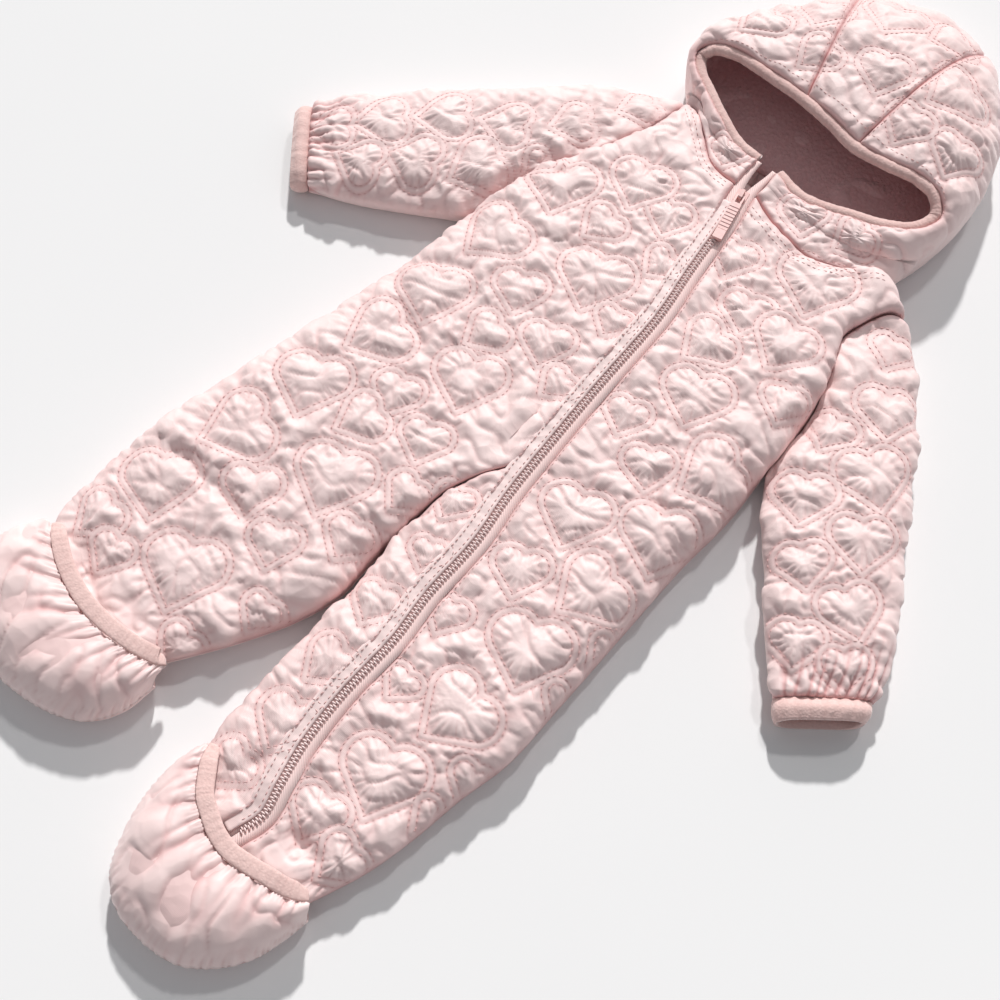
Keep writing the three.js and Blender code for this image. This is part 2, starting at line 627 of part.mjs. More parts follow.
group.add(
  cloth('sleeve_right', 'shell', sleeveRight, places(190, SQUARE, SQUARE, 12), roundSleeve,
    { wall: WALL, facing: -1, wrap: true, raise: gathers(16, 1.3, 0.8) }),
  cloth('sleeve_left', 'shell', sleeveLeft, places(205, SQUARE, SQUARE, 12), roundSleeve,
    { wall: WALL, facing: 1, wrap: true, raise: gathers(15, 1.3, 0.8) }),
  cloth('cuff_right', 'binding', cuffRight, places(11, SQUARE, SQUARE, 5.5), roundCuff,
    { wall: CUFF_WALL, facing: -1, wrap: true, quilt: false }),
  cloth('cuff_left', 'binding', cuffLeft, places(12, SQUARE, SQUARE, 6), roundCuff,
    { wall: CUFF_WALL, facing: 1, wrap: true, quilt: false }),
);

// hood: a row per section round it from the right of the zip, over the top, to the left of the zip;
// rim is where the section turns over at the silhouette, face is the edge of the face opening
const HOOD = [
  { rim: [-6, 209, 35], face: [-6, 221, 36] },
  { rim: [-27, 211, 34], face: [-24, 221, 37] },
  { rim: [-50, 223, 33], face: [-46, 229, 39] },
  { rim: [-67, 235, 32], face: [-70, 241, 40] },
  { rim: [-85, 244, 22], face: [-87, 250, 41] },
  { rim: [-102, 262, 18], face: [-95, 261, 43] },
  { rim: [-104, 285, 16], face: [-88, 270, 48] },
  { rim: [-99, 312, 16], face: [-71, 275, 51] },
  { rim: [-78, 350, 16], face: [-42, 276, 52] },
  { rim: [-46, 395, 16], face: [-9, 275, 53] },
  { rim: [6, 421, 16], face: [16, 272, 53] },
  { rim: [52, 415, 16], face: [41, 268, 52] },
  { rim: [90, 379, 16], face: [65, 271, 52] },
  { rim: [114, 340, 16], face: [87, 276, 51] },
  { rim: [125, 300, 16], face: [105, 275, 48] },
  { rim: [126, 266, 18], face: [116, 264, 43] },
  { rim: [121, 240, 23], face: [111, 248, 41] },
  { rim: [104, 221, 30], face: [92, 235, 39] },
  { rim: [84, 211, 34], face: [70, 227, 38] },
  { rim: [58, 205, 35.5], face: [52, 220, 37.5] },
  { rim: [35, 205, 36], face: [34, 216, 37] },
  { rim: [11, 209, 35], face: [10, 221, 36] },
];
const LAST = HOOD.length - 1;
const RIM_SHARE = 0.4;
const byRow = (rows) => {
  const curve = new THREE.CatmullRomCurve3(rows.map((r) => new THREE.Vector3(...r)), false, 'centripetal');
  return (q) => curve.getPoint(clamp(q, 0, 1));
};
const rimLine = byRow(HOOD.map((row) => row.rim));
const faceLine = byRow(HOOD.map((row) => row.face));
const CORNER = 0.79;
function neckAt(u) {
  const row = u * LAST;
  if (row < 4) return frontRight.point(0, 1 - row / 4);
  if (row < 10) return backRight.point(0, (row - 4) / 6);
  if (row < 16) return backLeft.point(0, (CORNER * (row - 10)) / 6);
  return frontLeft.point(0, CORNER * (1 - (row - 16) / 5));
}
const hood = {
  point: (u, v) => {
    const neck = neckAt(u);
    const rim = rimLine(u);
    const face = faceLine(u);
    const toRim = rim.clone().sub(neck).setZ(0);
    const under = toRim.length();
    const corner = Math.exp(-Math.min((u * LAST - 4) ** 2, (u * LAST - 16) ** 2));
    neck.addScaledVector(toRim.normalize(), mix(0.6, 1.4, corner));
    if (v < RIM_SHARE) {
      const q = v / RIM_SHARE;
      const fall = 1 - round(((1 - q) * under) / Math.min(14, under));
      return new THREE.Vector3(mix(neck.x, rim.x, q), mix(neck.y, rim.y, q), mix(neck.z, rim.z, fall));
    }
    const q = (v - RIM_SHARE) / (1 - RIM_SHARE);
    const over = Math.hypot(face.x - rim.x, face.y - rim.y);
    const high = face.z + 0.3 * over * q * (1 - q);
    const fall = 1 - round((q * over) / Math.min(over, Math.max(14, 0.7 * over)));
    return new THREE.Vector3(mix(rim.x, face.x, q), mix(rim.y, face.y, q), mix(high, rim.z, fall));
  },
  edge: (u, v) => {
    const rim = rimLine(u);
    const under = neckAt(u).sub(rim).setZ(0).length();
    const over = faceLine(u).sub(rim).setZ(0).length();
    const above = ((v - RIM_SHARE) / (1 - RIM_SHARE)) * over;
    const fromNeck = v < RIM_SHARE ? (v / RIM_SHARE) * under : under + above;
    const row = u * LAST;
    const fromSeam = Math.min(row, LAST - row, Math.abs(row - 9), Math.abs(row - 11)) * 30;
    return Math.min(fromSeam, fromNeck, under + over - fromNeck);
  },
};
const hoodPlaces = [0, 0.2, 0.35, RIM_SHARE,
  ...[0.02, 0.07, 0.14, 0.215, 0.29, 0.365, 0.44, 0.515, 0.59, 0.665, 0.74, 0.82, 1]
    .map((q) => mix(RIM_SHARE, 1, q))];
const across = (from, to, cells) => (
  Array.from({ length: cells + 1 }, (_, i) => mix(from, to, i / cells) / LAST));
const seamGap = 0.012;
const hoodParts = [
  { name: 'hood_side_right', list: across(0, 9 - seamGap, 18) },
  { name: 'hood_centre', list: across(9 + seamGap, 11 - seamGap, 6) },
  { name: 'hood_side_left', list: across(11 + seamGap, LAST, 20) },
];
for (const { name, list } of hoodParts) {
  group.add(cloth(name, 'shell', hood, list, hoodPlaces, { wall: WALL, facing: -1 }));
}

// fleece inside the hood, a plain layer under the quilted one
const liningRows = hoodParts.flatMap(({ list }) => list.filter((_, i) => i % 2 === 0)).slice(1, -1);
const liningCols = hoodPlaces.filter((_, i) => i % 2 === 0);
// the lining stops short of the neck and of the face opening
function lined(u, v) {
  const over = faceLine(u).sub(rimLine(u)).setZ(0).length();
  return clamp(v, 0.03, 1 - (1 - RIM_SHARE) * Math.min(0.95, 7.5 / over));
}
const sunk = (depth) => liningRows.map((u) => liningCols.map((place) => {
  const v = lined(u, place);
  return hood.point(u, v).addScaledVector(normalAt(hood.point, u, v, -1, false), -depth);
}));
group.add(shellMesh('hood_lining', 'fleece', sunk(WALL + 5 * GAP), sunk(WALL + 5 * GAP + LINING), false));

// closed body from rings of points with flat ends
function swept(name, look, rings) {
  const points = rings.flat();
  const size = rings[0].length;
  const tris = [];
  for (let i = 0; i < rings.length - 1; i += 1) {
    for (let j = 0; j < size; j += 1) {
      const k = (j + 1) % size;
      const [a, b, c, d] = [i * size + j, i * size + k, (i + 1) * size + k, (i + 1) * size + j];
      tris.push([a, b, c], [a, c, d]);
    }
  }
  for (let j = 1; j < size - 1; j += 1) {
    const end = (rings.length - 1) * size;
    tris.push([0, j + 1, j], [end, end + j, end + j + 1]);
  }
  return bodyMesh(name, look, points, tris);
}

// rolled binding along the edge of the face opening, further from it round the mouth's two corners
const bindRings = Array.from({ length: 47 }, (_, i) => {
  const u = mix(0.002, 0.998, i / 46);
  const n = normalAt(hood.point, u, 1, -1, false);
  const slope = hood.point(u, 1).sub(hood.point(u, 0.995)).normalize().z;
  const run = faceLine(Math.min(1, u + 0.006)).sub(faceLine(Math.max(0, u - 0.006))).setZ(0).normalize();
  const out = new THREE.Vector3(run.y, -run.x, slope).normalize();
  const corner = Math.exp(-Math.min((u * LAST - 4.8) ** 2, (u * LAST - 15.6) ** 2) / 1.5);
  const middle = hood.point(u, 1)
    .addScaledVector(out, BIND_R + mix(1.5, 3.8, corner))
    .addScaledVector(n, -(WALL + LINING) / 2);
  return Array.from({ length: 6 }, (_, j) => {
    const a = (2 * Math.PI * (j + 0.5)) / 6;
    return middle.clone().addScaledVector(out, BIND_R * Math.cos(a)).addScaledVector(n, BIND_R * Math.sin(a));
  });
});
group.add(swept('hood_binding', 'binding', bindRings));

// zip: strips that follow its line at the height of the front
const zipLevel = (x, y) => (y > 196 ? mix(crown(x, 196), 36, (y - 196) / 28) : crown(x, y));
function zipFrame(q) {
  const at = PLAN.zip(q);
  const a = PLAN.zip(Math.max(0, q - 0.01));
  const b = PLAN.zip(Math.min(1, q + 0.01));
  const along = b.sub(a).setZ(0).normalize();
  return { at: at.setZ(zipLevel(at.x, at.y)), along, side: new THREE.Vector3(-along.y, along.x, 0) };
}
function zipStrip(name, look, from, to, steps, section) {
  const rings = Array.from({ length: steps + 1 }, (_, i) => {
    const q = mix(from, to, i / steps);
    const { at, side } = zipFrame(q);
    return section(q).map(([a, h]) => {
      const p = at.clone().addScaledVector(side, a);
      return p.setZ(zipLevel(p.x, p.y) + h);
    });
  });
  return swept(name, look, rings);
}
const shareOf = (y) => shareAtY(PLAN.zip, y);
const zipTop = shareOf(221);
const zipEnd = shareOf(-348);
const opened = (q) => 4.4 * (1 - ease((q - zipTop) / (shareOf(184) - zipTop)));
group.add(
  zipStrip('zip_tape_right', 'zip', zipTop, zipEnd, 38, (q) => (
    [[-6.8, -2.7], [-0.2 - opened(q), -2.7], [-0.2 - opened(q), -1.6], [-6.8, -1.6]])),
  zipStrip('zip_tape_left', 'zip', zipTop, zipEnd, 38, (q) => (
    [[0.2 + opened(q), -2.7], [6.8, -2.7], [6.8, -1.6], [0.2 + opened(q), -1.6]])),
  zipStrip('zip_coil', 'zip', shareOf(182), shareOf(-340), 32, () => (
    [[-2.4, -1.3], [2.4, -1.3], [2.1, 0.1], [0.8, 0.8], [-0.8, 0.8], [-2.1, 0.1]])),
  zipStrip('zip_flap', 'zip', shareOf(181), shareOf(-346), 38, () => (
    [[-12.4, 1], [-3.2, 1], [-3.2, 2], [-12.4, 2]])),
);

const wasm = await Module();
wasm.setup();

// closed body of a geometry in the slider's own frame: x along the zip to the hem, y across it, z up
function solidOf(geometry) {
  geometry.deleteAttribute('normal');
  geometry.deleteAttribute('uv');
  const merged = mergeVertices(geometry, 1e-4);
  const mesh = new wasm.Mesh({
    numProp: 3,
    vertProperties: Float32Array.from(merged.attributes.position.array),
    triVerts: Uint32Array.from(merged.index.array),
  });
  return new wasm.Manifold(mesh);
}
function block(x0, x1, y0, y1, z0, z1) {
  const box = new THREE.BoxGeometry(x1 - x0, y1 - y0, z1 - z0);
  return solidOf(box.translate((x0 + x1) / 2, (y0 + y1) / 2, (z0 + z1) / 2));
}
// side outline of [x, z] rows, run across the zip from -half to half
function profile(rows, half) {
  const shape = new THREE.Shape(rows.map(([x, z]) => new THREE.Vector2(x, z)));
  const run = new THREE.ExtrudeGeometry(shape, { depth: 2 * half, bevelEnabled: false });
  return solidOf(run.translate(0, 0, -half).rotateX(Math.PI / 2));
}
function placed(name, solid, matrix) {
  const { vertProperties, triVerts, numProp } = solid.getMesh();
  const points = [];
  for (let i = 0; i < vertProperties.length; i += numProp) {
    points.push(new THREE.Vector3().fromArray(vertProperties, i).applyMatrix4(matrix));
  }
  const tris = [];
  for (let i = 0; i < triVerts.length; i += 3) tris.push([...triVerts.slice(i, i + 3)]);
  return bodyMesh(name, 'slider', points, tris);
}

// slider: two plates joined by a post between the tapes, and a bridge that holds the pull
const SLIDER = { x: 4.3, y: 190, turn: -75 };
const BRIDGE = { long: 8, half: 1.2, under: 3.6, over: 4.8, wall: 1.8 };
const PIVOT = { x: 1, z: 2.2, tilt: -3 };
const level = zipLevel(SLIDER.x, SLIDER.y);
const onZip = new THREE.Matrix4()
  .makeRotationZ(THREE.MathUtils.degToRad(SLIDER.turn))
  .setPosition(SLIDER.x, SLIDER.y, level);
const bridgeEnd = BRIDGE.long / 2;
const sliderBody = profile([[-5.6, -1], [5.6, -1], [5.6, 0], [4.6, 0.7], [-4.6, 0.7], [-5.6, 0]], 4.2)
  .add(block(-5.4, 5, -3.8, 3.8, -4.8, -3.4))
  .add(block(-5, -3.6, -0.5, 0.5, -4, 0))
  .add(profile([[-bridgeEnd, 0.3], [-bridgeEnd + BRIDGE.wall, 0.3], [-bridgeEnd + BRIDGE.wall, BRIDGE.under],
    [bridgeEnd - BRIDGE.wall, BRIDGE.under], [bridgeEnd - BRIDGE.wall, 0.3], [bridgeEnd, 0.3],
    [bridgeEnd, BRIDGE.over - 0.9], [bridgeEnd - 0.9, BRIDGE.over], [-bridgeEnd + 0.9, BRIDGE.over],
    [-bridgeEnd, BRIDGE.over - 0.9]], BRIDGE.half));
group.add(placed('zip_slider', sliderBody, onZip));

// pull: a ring round the bridge and a ribbed tab with a square end
const RING = { inner: 1.8, outer: 3.2, end: 8.2, bar: 0.7 };
const TAB = { half: 3.5, thick: 1.0, rib: 0.45, pitch: 3, from: 8, to: 33, end: 41 };
const ribRows = [[TAB.from, TAB.thick]];
for (let x = TAB.from + 2; x < TAB.to - 1; x += TAB.pitch) {
  const top = TAB.thick + TAB.rib;
  ribRows.push([x, TAB.thick], [x + 0.5, top], [x + 1.5, top], [x + 2, TAB.thick]);
}
ribRows.push([TAB.to, TAB.thick], [TAB.to, TAB.thick + 0.7], [TAB.end, TAB.thick + 0.7], [TAB.end, -TAB.thick],
  [TAB.from, -TAB.thick]);
const pullBody = block(-RING.bar, RING.end, -RING.outer, RING.outer, -RING.bar, RING.bar)
  .subtract(block(RING.bar, RING.end - 1.4, -RING.inner, RING.inner, -2, 2))
  .add(profile(ribRows.reverse(), TAB.half));
const onPivot = new THREE.Matrix4()
  .makeRotationY(THREE.MathUtils.degToRad(PIVOT.tilt))
  .setPosition(PIVOT.x, 0, PIVOT.z)
  .premultiply(onZip);
group.add(placed('zip_pull', pullBody, onPivot));

// bootie: a row per section from its left side round the toe; bind is the bound edge, rim the sole seam
const FEET = {
  right: [
    { bind: [-159, -290, 25], rim: [-171, -292] },
    { bind: [-150, -297, 29], rim: [-180, -310] },
    { bind: [-136, -305, 31], rim: [-183, -328] },
    { bind: [-120, -311, 32], rim: [-174, -348] },
    { bind: [-103, -315, 32], rim: [-152, -366] },
    { bind: [-86, -316, 32], rim: [-122, -376] },
    { bind: [-70, -315, 32], rim: [-92, -375] },
    { bind: [-58, -313, 31], rim: [-66, -368] },
    { bind: [-47, -310, 30], rim: [-49, -357] },
    { bind: [-40, -307, 28], rim: [-39, -338] },
    { bind: [-37, -303, 24], rim: [-37, -316] },
  ],
  left: [
    { bind: [17, -317, 24], rim: [10, -324] },
    { bind: [21, -327, 28], rim: [8, -342] },
    { bind: [28, -336, 30], rim: [9, -362] },
    { bind: [37, -345, 32], rim: [16, -386] },
    { bind: [48, -351, 32], rim: [28, -408] },
    { bind: [60, -356, 32], rim: [46, -419] },
    { bind: [74, -358, 32], rim: [70, -421] },
    { bind: [88, -356, 32], rim: [94, -416] },
    { bind: [101, -353, 32], rim: [112, -402] },
    { bind: [113, -350, 30], rim: [124, -384] },
    { bind: [121, -346, 28], rim: [129, -365] },
    { bind: [126, -341, 24], rim: [131, -349] },
  ],
};
// heel edge of each sole, just past the end of the leg
const SOLE_BACK = {
  right: line([[-160.5, -289], [-156, -297], [-150, -305.5], [-122, -309], [-78, -314], [-51, -317.3],
    [-48, -314.5], [-46.5, -311.5]]),
  left: line([[15.5, -321], [19.5, -332], [25, -343.5], [52, -345.8], [92, -349], [120, -351.5],
    [123, -348.5], [124, -344]]),
};
// creases of the gathered toe: place along the binding, width, depth
const PUCKERS = [[0.14, 0.02, 1.5], [0.21, 0.014, 1.1], [0.29, 0.02, 1.8], [0.36, 0.013, 1.2],
  [0.43, 0.02, 2.2],
  [0.5, 0.015, 1.4], [0.565, 0.022, 2.4], [0.63, 0.014, 1.3], [0.7, 0.02, 1.9], [0.77, 0.015, 1.3],
  [0.85, 0.02, 1.6]];

for (const side of ['right', 'left']) {
  const rows = FEET[side];
  const bindLine = byRow(rows.map((row) => row.bind));
  const footRim = byRow(rows.map((row) => [...row.rim, 0]));
  const upper = {
    point: (u, v) => {
      const a = bindLine(u);
      const b = footRim(u);
      const long = Math.hypot(b.x - a.x, b.y - a.y);
      const high = a.z + 0.28 * long * v * (1 - v);
      const fall = 1 - round(((1 - v) * long) / Math.min(0.8 * long, 34));
      return new THREE.Vector3(mix(a.x, b.x, v), mix(a.y, b.y, v), mix(high, seamTop(), fall));
    },
    edge: () => 0,
  };
  const sole = {
    point: (u, v) => {
      const a = footRim(u);
      const b = SOLE_BACK[side](u);
      const long = Math.hypot(b.x - a.x, b.y - a.y);
      const rise = 1 - round((v * long) / Math.min(long, UNDER_ROUND));
      return new THREE.Vector3(mix(a.x, b.x, v), mix(a.y, b.y, v), seamUnder() * rise);
    },
    edge: () => 0,
  };
  const gathered = (u, v) => {
    let lift = 0;
    for (const [at, wide, deep] of PUCKERS) {
      const away = (u - at - 0.02 * v * Math.sin(40 * at)) / (wide * (1 + 1.5 * v));
      lift -= deep * Math.exp(-away * away) * (1 - ease(v / 0.9));
    }
    return lift + 0.9 * ease(v / 0.2) * (1 - ease((v - 0.2) / 0.5));
  };
  const list = (cells) => Array.from({ length: cells + 1 }, (_, i) => i / cells);
  group.add(
    cloth(`foot_upper_${side}`, 'shell', upper, list(28), [0, 0.1, 0.22, 0.36, 0.52, 0.68, 0.82, 0.92, 1],
      { wall: PLAIN, facing: -1, quilt: false, raise: gathered }),
    cloth(`foot_sole_${side}`, 'shell', sole, list(24), [0, 0.06, 0.18, 0.5, 1],
      { wall: PLAIN, facing: -1, quilt: false }),
  );
  const rings = list(24).map((u) => {
    const at = bindLine(u);
    const run = bindLine(Math.min(1, u + 0.01)).sub(bindLine(Math.max(0, u - 0.01))).setZ(0).normalize();
    const toLeg = new THREE.Vector3(-run.y, run.x, 0);
    const wide = 10.5 * mix(0.45, 1, round(Math.min(u, 1 - u) / 0.16));
    const section = [[0.9, -2.2], [wide - 0.8, -2], [wide, -0.6], [wide - 0.8, 0.9], [wide / 2, 1.4],
      [0.9, 0.8]];
    return section.map(([a, h]) => at.clone().addScaledVector(toLeg, a).setZ(at.z + h));
  });
  group.add(swept(`foot_binding_${side}`, 'binding', rings));
}

// stand the part on the middle of its box
const reach = new THREE.Box3().setFromObject(group);
const middle = reach.getCenter(new THREE.Vector3());
for (const mesh of group.children) mesh.geometry.translate(-middle.x, -middle.y, -reach.min.z);

export default group;
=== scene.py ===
# %% [markdown]
# Quilted baby snowsuit, laid on its back.
# The solids of the garment come in as a fixed frame, at their real size. This lesson dresses each of
# them in cloth: a fine wall with heart quilting, puckers and stitches, fleece, bindings and a zip.
# Everything is worked out in millimetres on the plan of the garment, seen from above, and turned into
# metres only when a mesh is made.

import math

import bpy
import numpy as np
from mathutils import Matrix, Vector
from mathutils.bvhtree import BVHTree


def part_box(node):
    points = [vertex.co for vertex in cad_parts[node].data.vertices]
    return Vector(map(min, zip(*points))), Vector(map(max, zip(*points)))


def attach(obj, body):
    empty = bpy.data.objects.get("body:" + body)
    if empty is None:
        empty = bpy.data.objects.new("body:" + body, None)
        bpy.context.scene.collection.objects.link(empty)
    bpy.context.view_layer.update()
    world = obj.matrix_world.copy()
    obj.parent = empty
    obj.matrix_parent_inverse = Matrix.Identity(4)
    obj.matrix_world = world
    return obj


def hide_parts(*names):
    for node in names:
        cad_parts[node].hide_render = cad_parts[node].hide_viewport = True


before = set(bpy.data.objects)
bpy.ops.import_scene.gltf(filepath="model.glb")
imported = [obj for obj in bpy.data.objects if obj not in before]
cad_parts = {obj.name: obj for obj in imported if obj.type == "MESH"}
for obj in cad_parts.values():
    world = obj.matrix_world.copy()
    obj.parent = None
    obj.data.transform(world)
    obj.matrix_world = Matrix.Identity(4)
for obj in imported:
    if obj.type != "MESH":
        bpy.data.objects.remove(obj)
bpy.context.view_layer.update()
FINE = 1.35
# the slider's middle on the plan ties the plan to the frame
slider_low, slider_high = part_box("zip_slider")
PLAN_SLIDER = (4.3, 190.0)
SHIFT = np.array([
    (slider_low.x + slider_high.x) * 500 - PLAN_SLIDER[0],
    (slider_low.y + slider_high.y) * 500 - PLAN_SLIDER[1],
    0.0,
])
print("plan to frame, mm:", SHIFT.round(2), "cell", FINE)

# %% [markdown]
# The camera looks down at the suit at 66 degrees from the side of the wearer's left leg. Its place is
# kept as a distance and two angles from the point that it looks at, because those can be measured in a
# picture. The lens is a long one, so straight seams stay straight.

# %% Camera
LOOK_AT = Vector((28, -78, 0)) / 1000
AZIMUTH, ELEVATION, DISTANCE = math.radians(43), math.radians(66), 0.975
back = Vector((
    math.sin(AZIMUTH) * math.cos(ELEVATION),
    -math.cos(AZIMUTH) * math.cos(ELEVATION),
    math.sin(ELEVATION),
))
camera = bpy.data.objects.new("camera", bpy.data.cameras.new("camera"))
camera.data.sensor_width = 36
camera.data.lens = 54
camera.location = LOOK_AT + back * DISTANCE + Vector(SHIFT / 1000)
camera.rotation_mode = "QUATERNION"
camera.rotation_quaternion = (-back).to_track_quat("-Z", "Y")
bpy.context.scene.collection.objects.link(camera)
bpy.context.scene.camera = camera
print("camera at", [round(v, 3) for v in camera.location])

# %% [markdown]
# Small helpers for shapes: blends, tables read with smooth steps, and smooth lines through a few
# points. A line is asked for its place by a share of its length, on whole arrays at once, so a panel
# of fifty thousand points takes a moment.


# %% Blends, tables and lines
def mix(a, b, q):
    return a + (b - a) * q


def ease(q):
    c = np.clip(q, 0, 1)
    return c * c * (3 - 2 * c)


def quarter(q):
    """Quarter-round rise from 0 to 1."""
    left = 1 - np.clip(q, 0, 1)
    return np.sqrt(np.maximum(0, 1 - left * left))


def stepped(rows):
    """Value read off rows of [place, value]."""
    places, values = np.array(rows, float).T

    def read(q):
        q = np.clip(q, places[0], places[-1])
        i = np.clip(np.searchsorted(places, q) - 1, 0, len(places) - 2)
        return mix(values[i], values[i + 1], ease((q - places[i]) / (places[i + 1] - places[i])))

    return read


def line(rows, by_row=False):
    """Smooth line through rows of [x, y] or [x, y, z], asked for by share of length or of rows."""
    knots = np.array([list(row) + [0.0] * (3 - len(row)) for row in rows], float)
    knots_round = np.vstack([2 * knots[:1] - knots[1:2], knots, 2 * knots[-1:] - knots[-2:-1]])
    w = np.linspace(0, 1, 40, endpoint=False)[:, None]
    runs = []
    for p0, p1, p2, p3 in zip(knots_round, knots_round[1:], knots_round[2:], knots_round[3:]):
        d0, d1, d2 = (math.sqrt(np.linalg.norm(b - a)) for a, b in ((p0, p1), (p1, p2), (p2, p3)))
        t1 = ((p1 - p0) / d0 - (p2 - p0) / (d0 + d1) + (p2 - p1) / d1) * d1
        t2 = ((p2 - p1) / d1 - (p3 - p1) / (d1 + d2) + (p3 - p2) / d2) * d1
        runs.append(p1 + t1 * w + (3 * (p2 - p1) - 2 * t1 - t2) * w**2 + (2 * (p1 - p2) + t1 + t2) * w**3)
    points = np.vstack(runs + [knots[-1:]])
    if by_row:
        share = np.linspace(0, 1, len(points))
    else:
        length = np.concatenate([[0], np.cumsum(np.linalg.norm(np.diff(points, axis=0), axis=1))])
        share = length / length[-1]

    def at(q):
        return np.stack([np.interp(q, share, points[:, k]) for k in range(3)], axis=-1)

    return at


def beside(curve, offset):
    """Line moved sideways on the plan, positive to the left of its run."""

    def at(q):
        run = curve(np.clip(np.asarray(q) + 0.01, 0, 1)) - curve(np.clip(np.asarray(q) - 0.01, 0, 1))
        long = np.hypot(run[..., 0], run[..., 1])
        place = curve(q)
        place[..., 0] -= run[..., 1] / long * offset
        place[..., 1] += run[..., 0] / long * offset
        return place

    return at


def joined(*parts):
    """Lines end to end: each part is (share where it ends, line, from, to)."""

    def at(q):
        q = np.asarray(q, float)
        out = np.zeros(q.shape + (3,))
        start = 0.0
        for end, curve, first, last in parts:
            share = np.clip((q - start) / (end - start), 0, 1)
            here = (q >= start) if start == 0 else (q > start)
            out = np.where(here[..., None], curve(mix(first, last, share)), out)
            start = end
        return out

    return at


def share_at_y(curve, y):
    """Share of a line at which it passes a given y on its way to the hem."""
    q = np.linspace(0, 1, 4001)
    return float(q[np.argmax(curve(q)[:, 1] <= y)])


def noise(x, y, seed):
    """Smooth noise from -1 to 1, one cell a unit wide."""
    rng = np.random.default_rng(seed)
    angles = rng.uniform(0, 2 * np.pi, (64, 64))
    i, j = np.floor(x).astype(int), np.floor(y).astype(int)
    u, v = x - i, y - j

    def corner(di, dj):
        a = angles[(i + di) % 64, (j + dj) % 64]
        return np.cos(a) * (u - di) + np.sin(a) * (v - dj)

    left = mix(corner(0, 0), corner(0, 1), ease(v))
    right = mix(corner(1, 0), corner(1, 1), ease(v))
    return 1.5 * mix(left, right, ease(u))


print("helpers ready")

# %% [markdown]
# The plan of the garment in millimetres, +Y to the hood and +X to the wearer's left. The zip starts at
# the face opening and turns down the left leg. The folds are the deep ones that show in the laid suit:
# each row is a line, a width and a depth, and a negative depth is a raised fold.

# %% Plan and folds
SEAM_Z = 13.0
GAP = 0.3
ZIP_HALF = 8.0
UNDER_ROUND = 13.0
ZIP = [[2, 224], [3, 196], [10, 165], [18, 119], [26, 78], [31, 12], [35, -34], [40, -81], [47, -120],
       [49, -165], [54, -200], [55, -245], [59, -280], [66, -306], [71, -325], [67, -342], [62, -360]]
PLAN = {
    "zip": line(ZIP),
    "side_right": line([[-130, 60], [-130, 31], [-135, -9], [-141, -51], [-150, -99], [-158, -146], [-167, -200],
                        [-168, -245], [-166, -275], [-158, -292], [-150, -304]]),
    "side_left": line([[145, 48], [149, 7], [148, -40], [150, -101], [152, -157], [153, -205], [147, -240],
                       [143, -275], [137, -306], [129, -330], [121, -350]]),
    "arm_right": line([[-76, 233], [-84, 195], [-95, 158], [-111, 132], [-122, 103], [-130, 60]]),
    "arm_left": line([[143, 197], [133, 190], [125, 172], [122, 152], [132, 130], [140, 104], [144, 76],
                      [145, 48]]),
    "crotch": line([[30, -64], [17, -85], [9, -105], [5, -130], [3, -150]]),
    "inseam_right": line([[2.6, -150], [3.6, -175], [4.6, -200], [-3, -228], [-13, -250], [-25, -272],
                          [-36, -290], [-46, -306], [-50, -316]]),
    "inseam_left": line([[3.4, -150], [6, -175], [7.5, -200], [8.5, -228], [10, -262], [11, -290], [13, -312],
                         [20, -330], [26, -342]]),
    "centre_back": line([[6, 221], [5, 60], [3, -150]]),
}
# x1, y1, x2, y2, width, depth
FOLDS = [
    [-104, 150, -99, 122, 7, 6], [-92, 152, -112, 112, 8, -3], [-72, 70, -42, 88, 7, 3],
    [-126, 4, -92, 22, 6, 3], [18, 150, 48, 112, 7, 3.5], [104, 105, 122, 82, 6, 4], [108, 68, 146, 45, 7, 3],
    [16, -18, 14, -60, 6, 4], [100, -12, 118, -30, 6, 4], [-108, -30, -72, -44, 6, 3],
    [6, -126, 14, -168, 7, 5], [-152, -203, -72, -206, 6, 3.5], [-150, -196, -110, -186, 7, -2.5],
    [-138, -288, -100, -306, 7, 4], [56, -294, 40, -318, 6, 4], [80, -296, 84, -318, 6, 3],
    [86, -322, 112, -322, 6, 5],
]
zip_x = stepped([[-y, x] for x, y in ZIP])
crown_by_y = stepped([[-362, 19], [-340, 21], [-300, 26], [-200, 31], [-100, 34], [60, 37], [160, 36], [230, 33]])


def fold_depth(x, y):
    """Depth of the folds, which die out at the zip."""
    clear = ease((np.abs(x - zip_x(-y)) - 14) / 8)
    total = np.zeros_like(x)
    for x1, y1, x2, y2, wide, deep in FOLDS:
        dx, dy = x2 - x1, y2 - y1
        k = np.clip(((x - x1) * dx + (y - y1) * dy) / (dx * dx + dy * dy), 0, 1)
        away = np.hypot(x - x1 - k * dx, y - y1 - k * dy) / wide
        total += np.where(away < 2, deep * np.exp(-1.4 * away**2) * (1 - 0.45 * np.abs(2 * k - 1)), 0)
    return total * clear


def crown(x, y):
    """Height of the upper side away from its seams."""
    right_leg = np.where(x < 4, 42 * ease((-y - 140) / 110), 0)
    return crown_by_y(y - right_leg) - fold_depth(x, y)


print(len(PLAN), "lines,", len(FOLDS), "folds")

# %% [markdown]
# The quilting is a field of hearts of several sizes, and a later heart lies over an earlier one. A
# signed distance to each heart, negative inside, tells every point of the cloth how far the nearest
# stitched outline is. Adding up offsets of the outline would need booleans; a distance needs none.

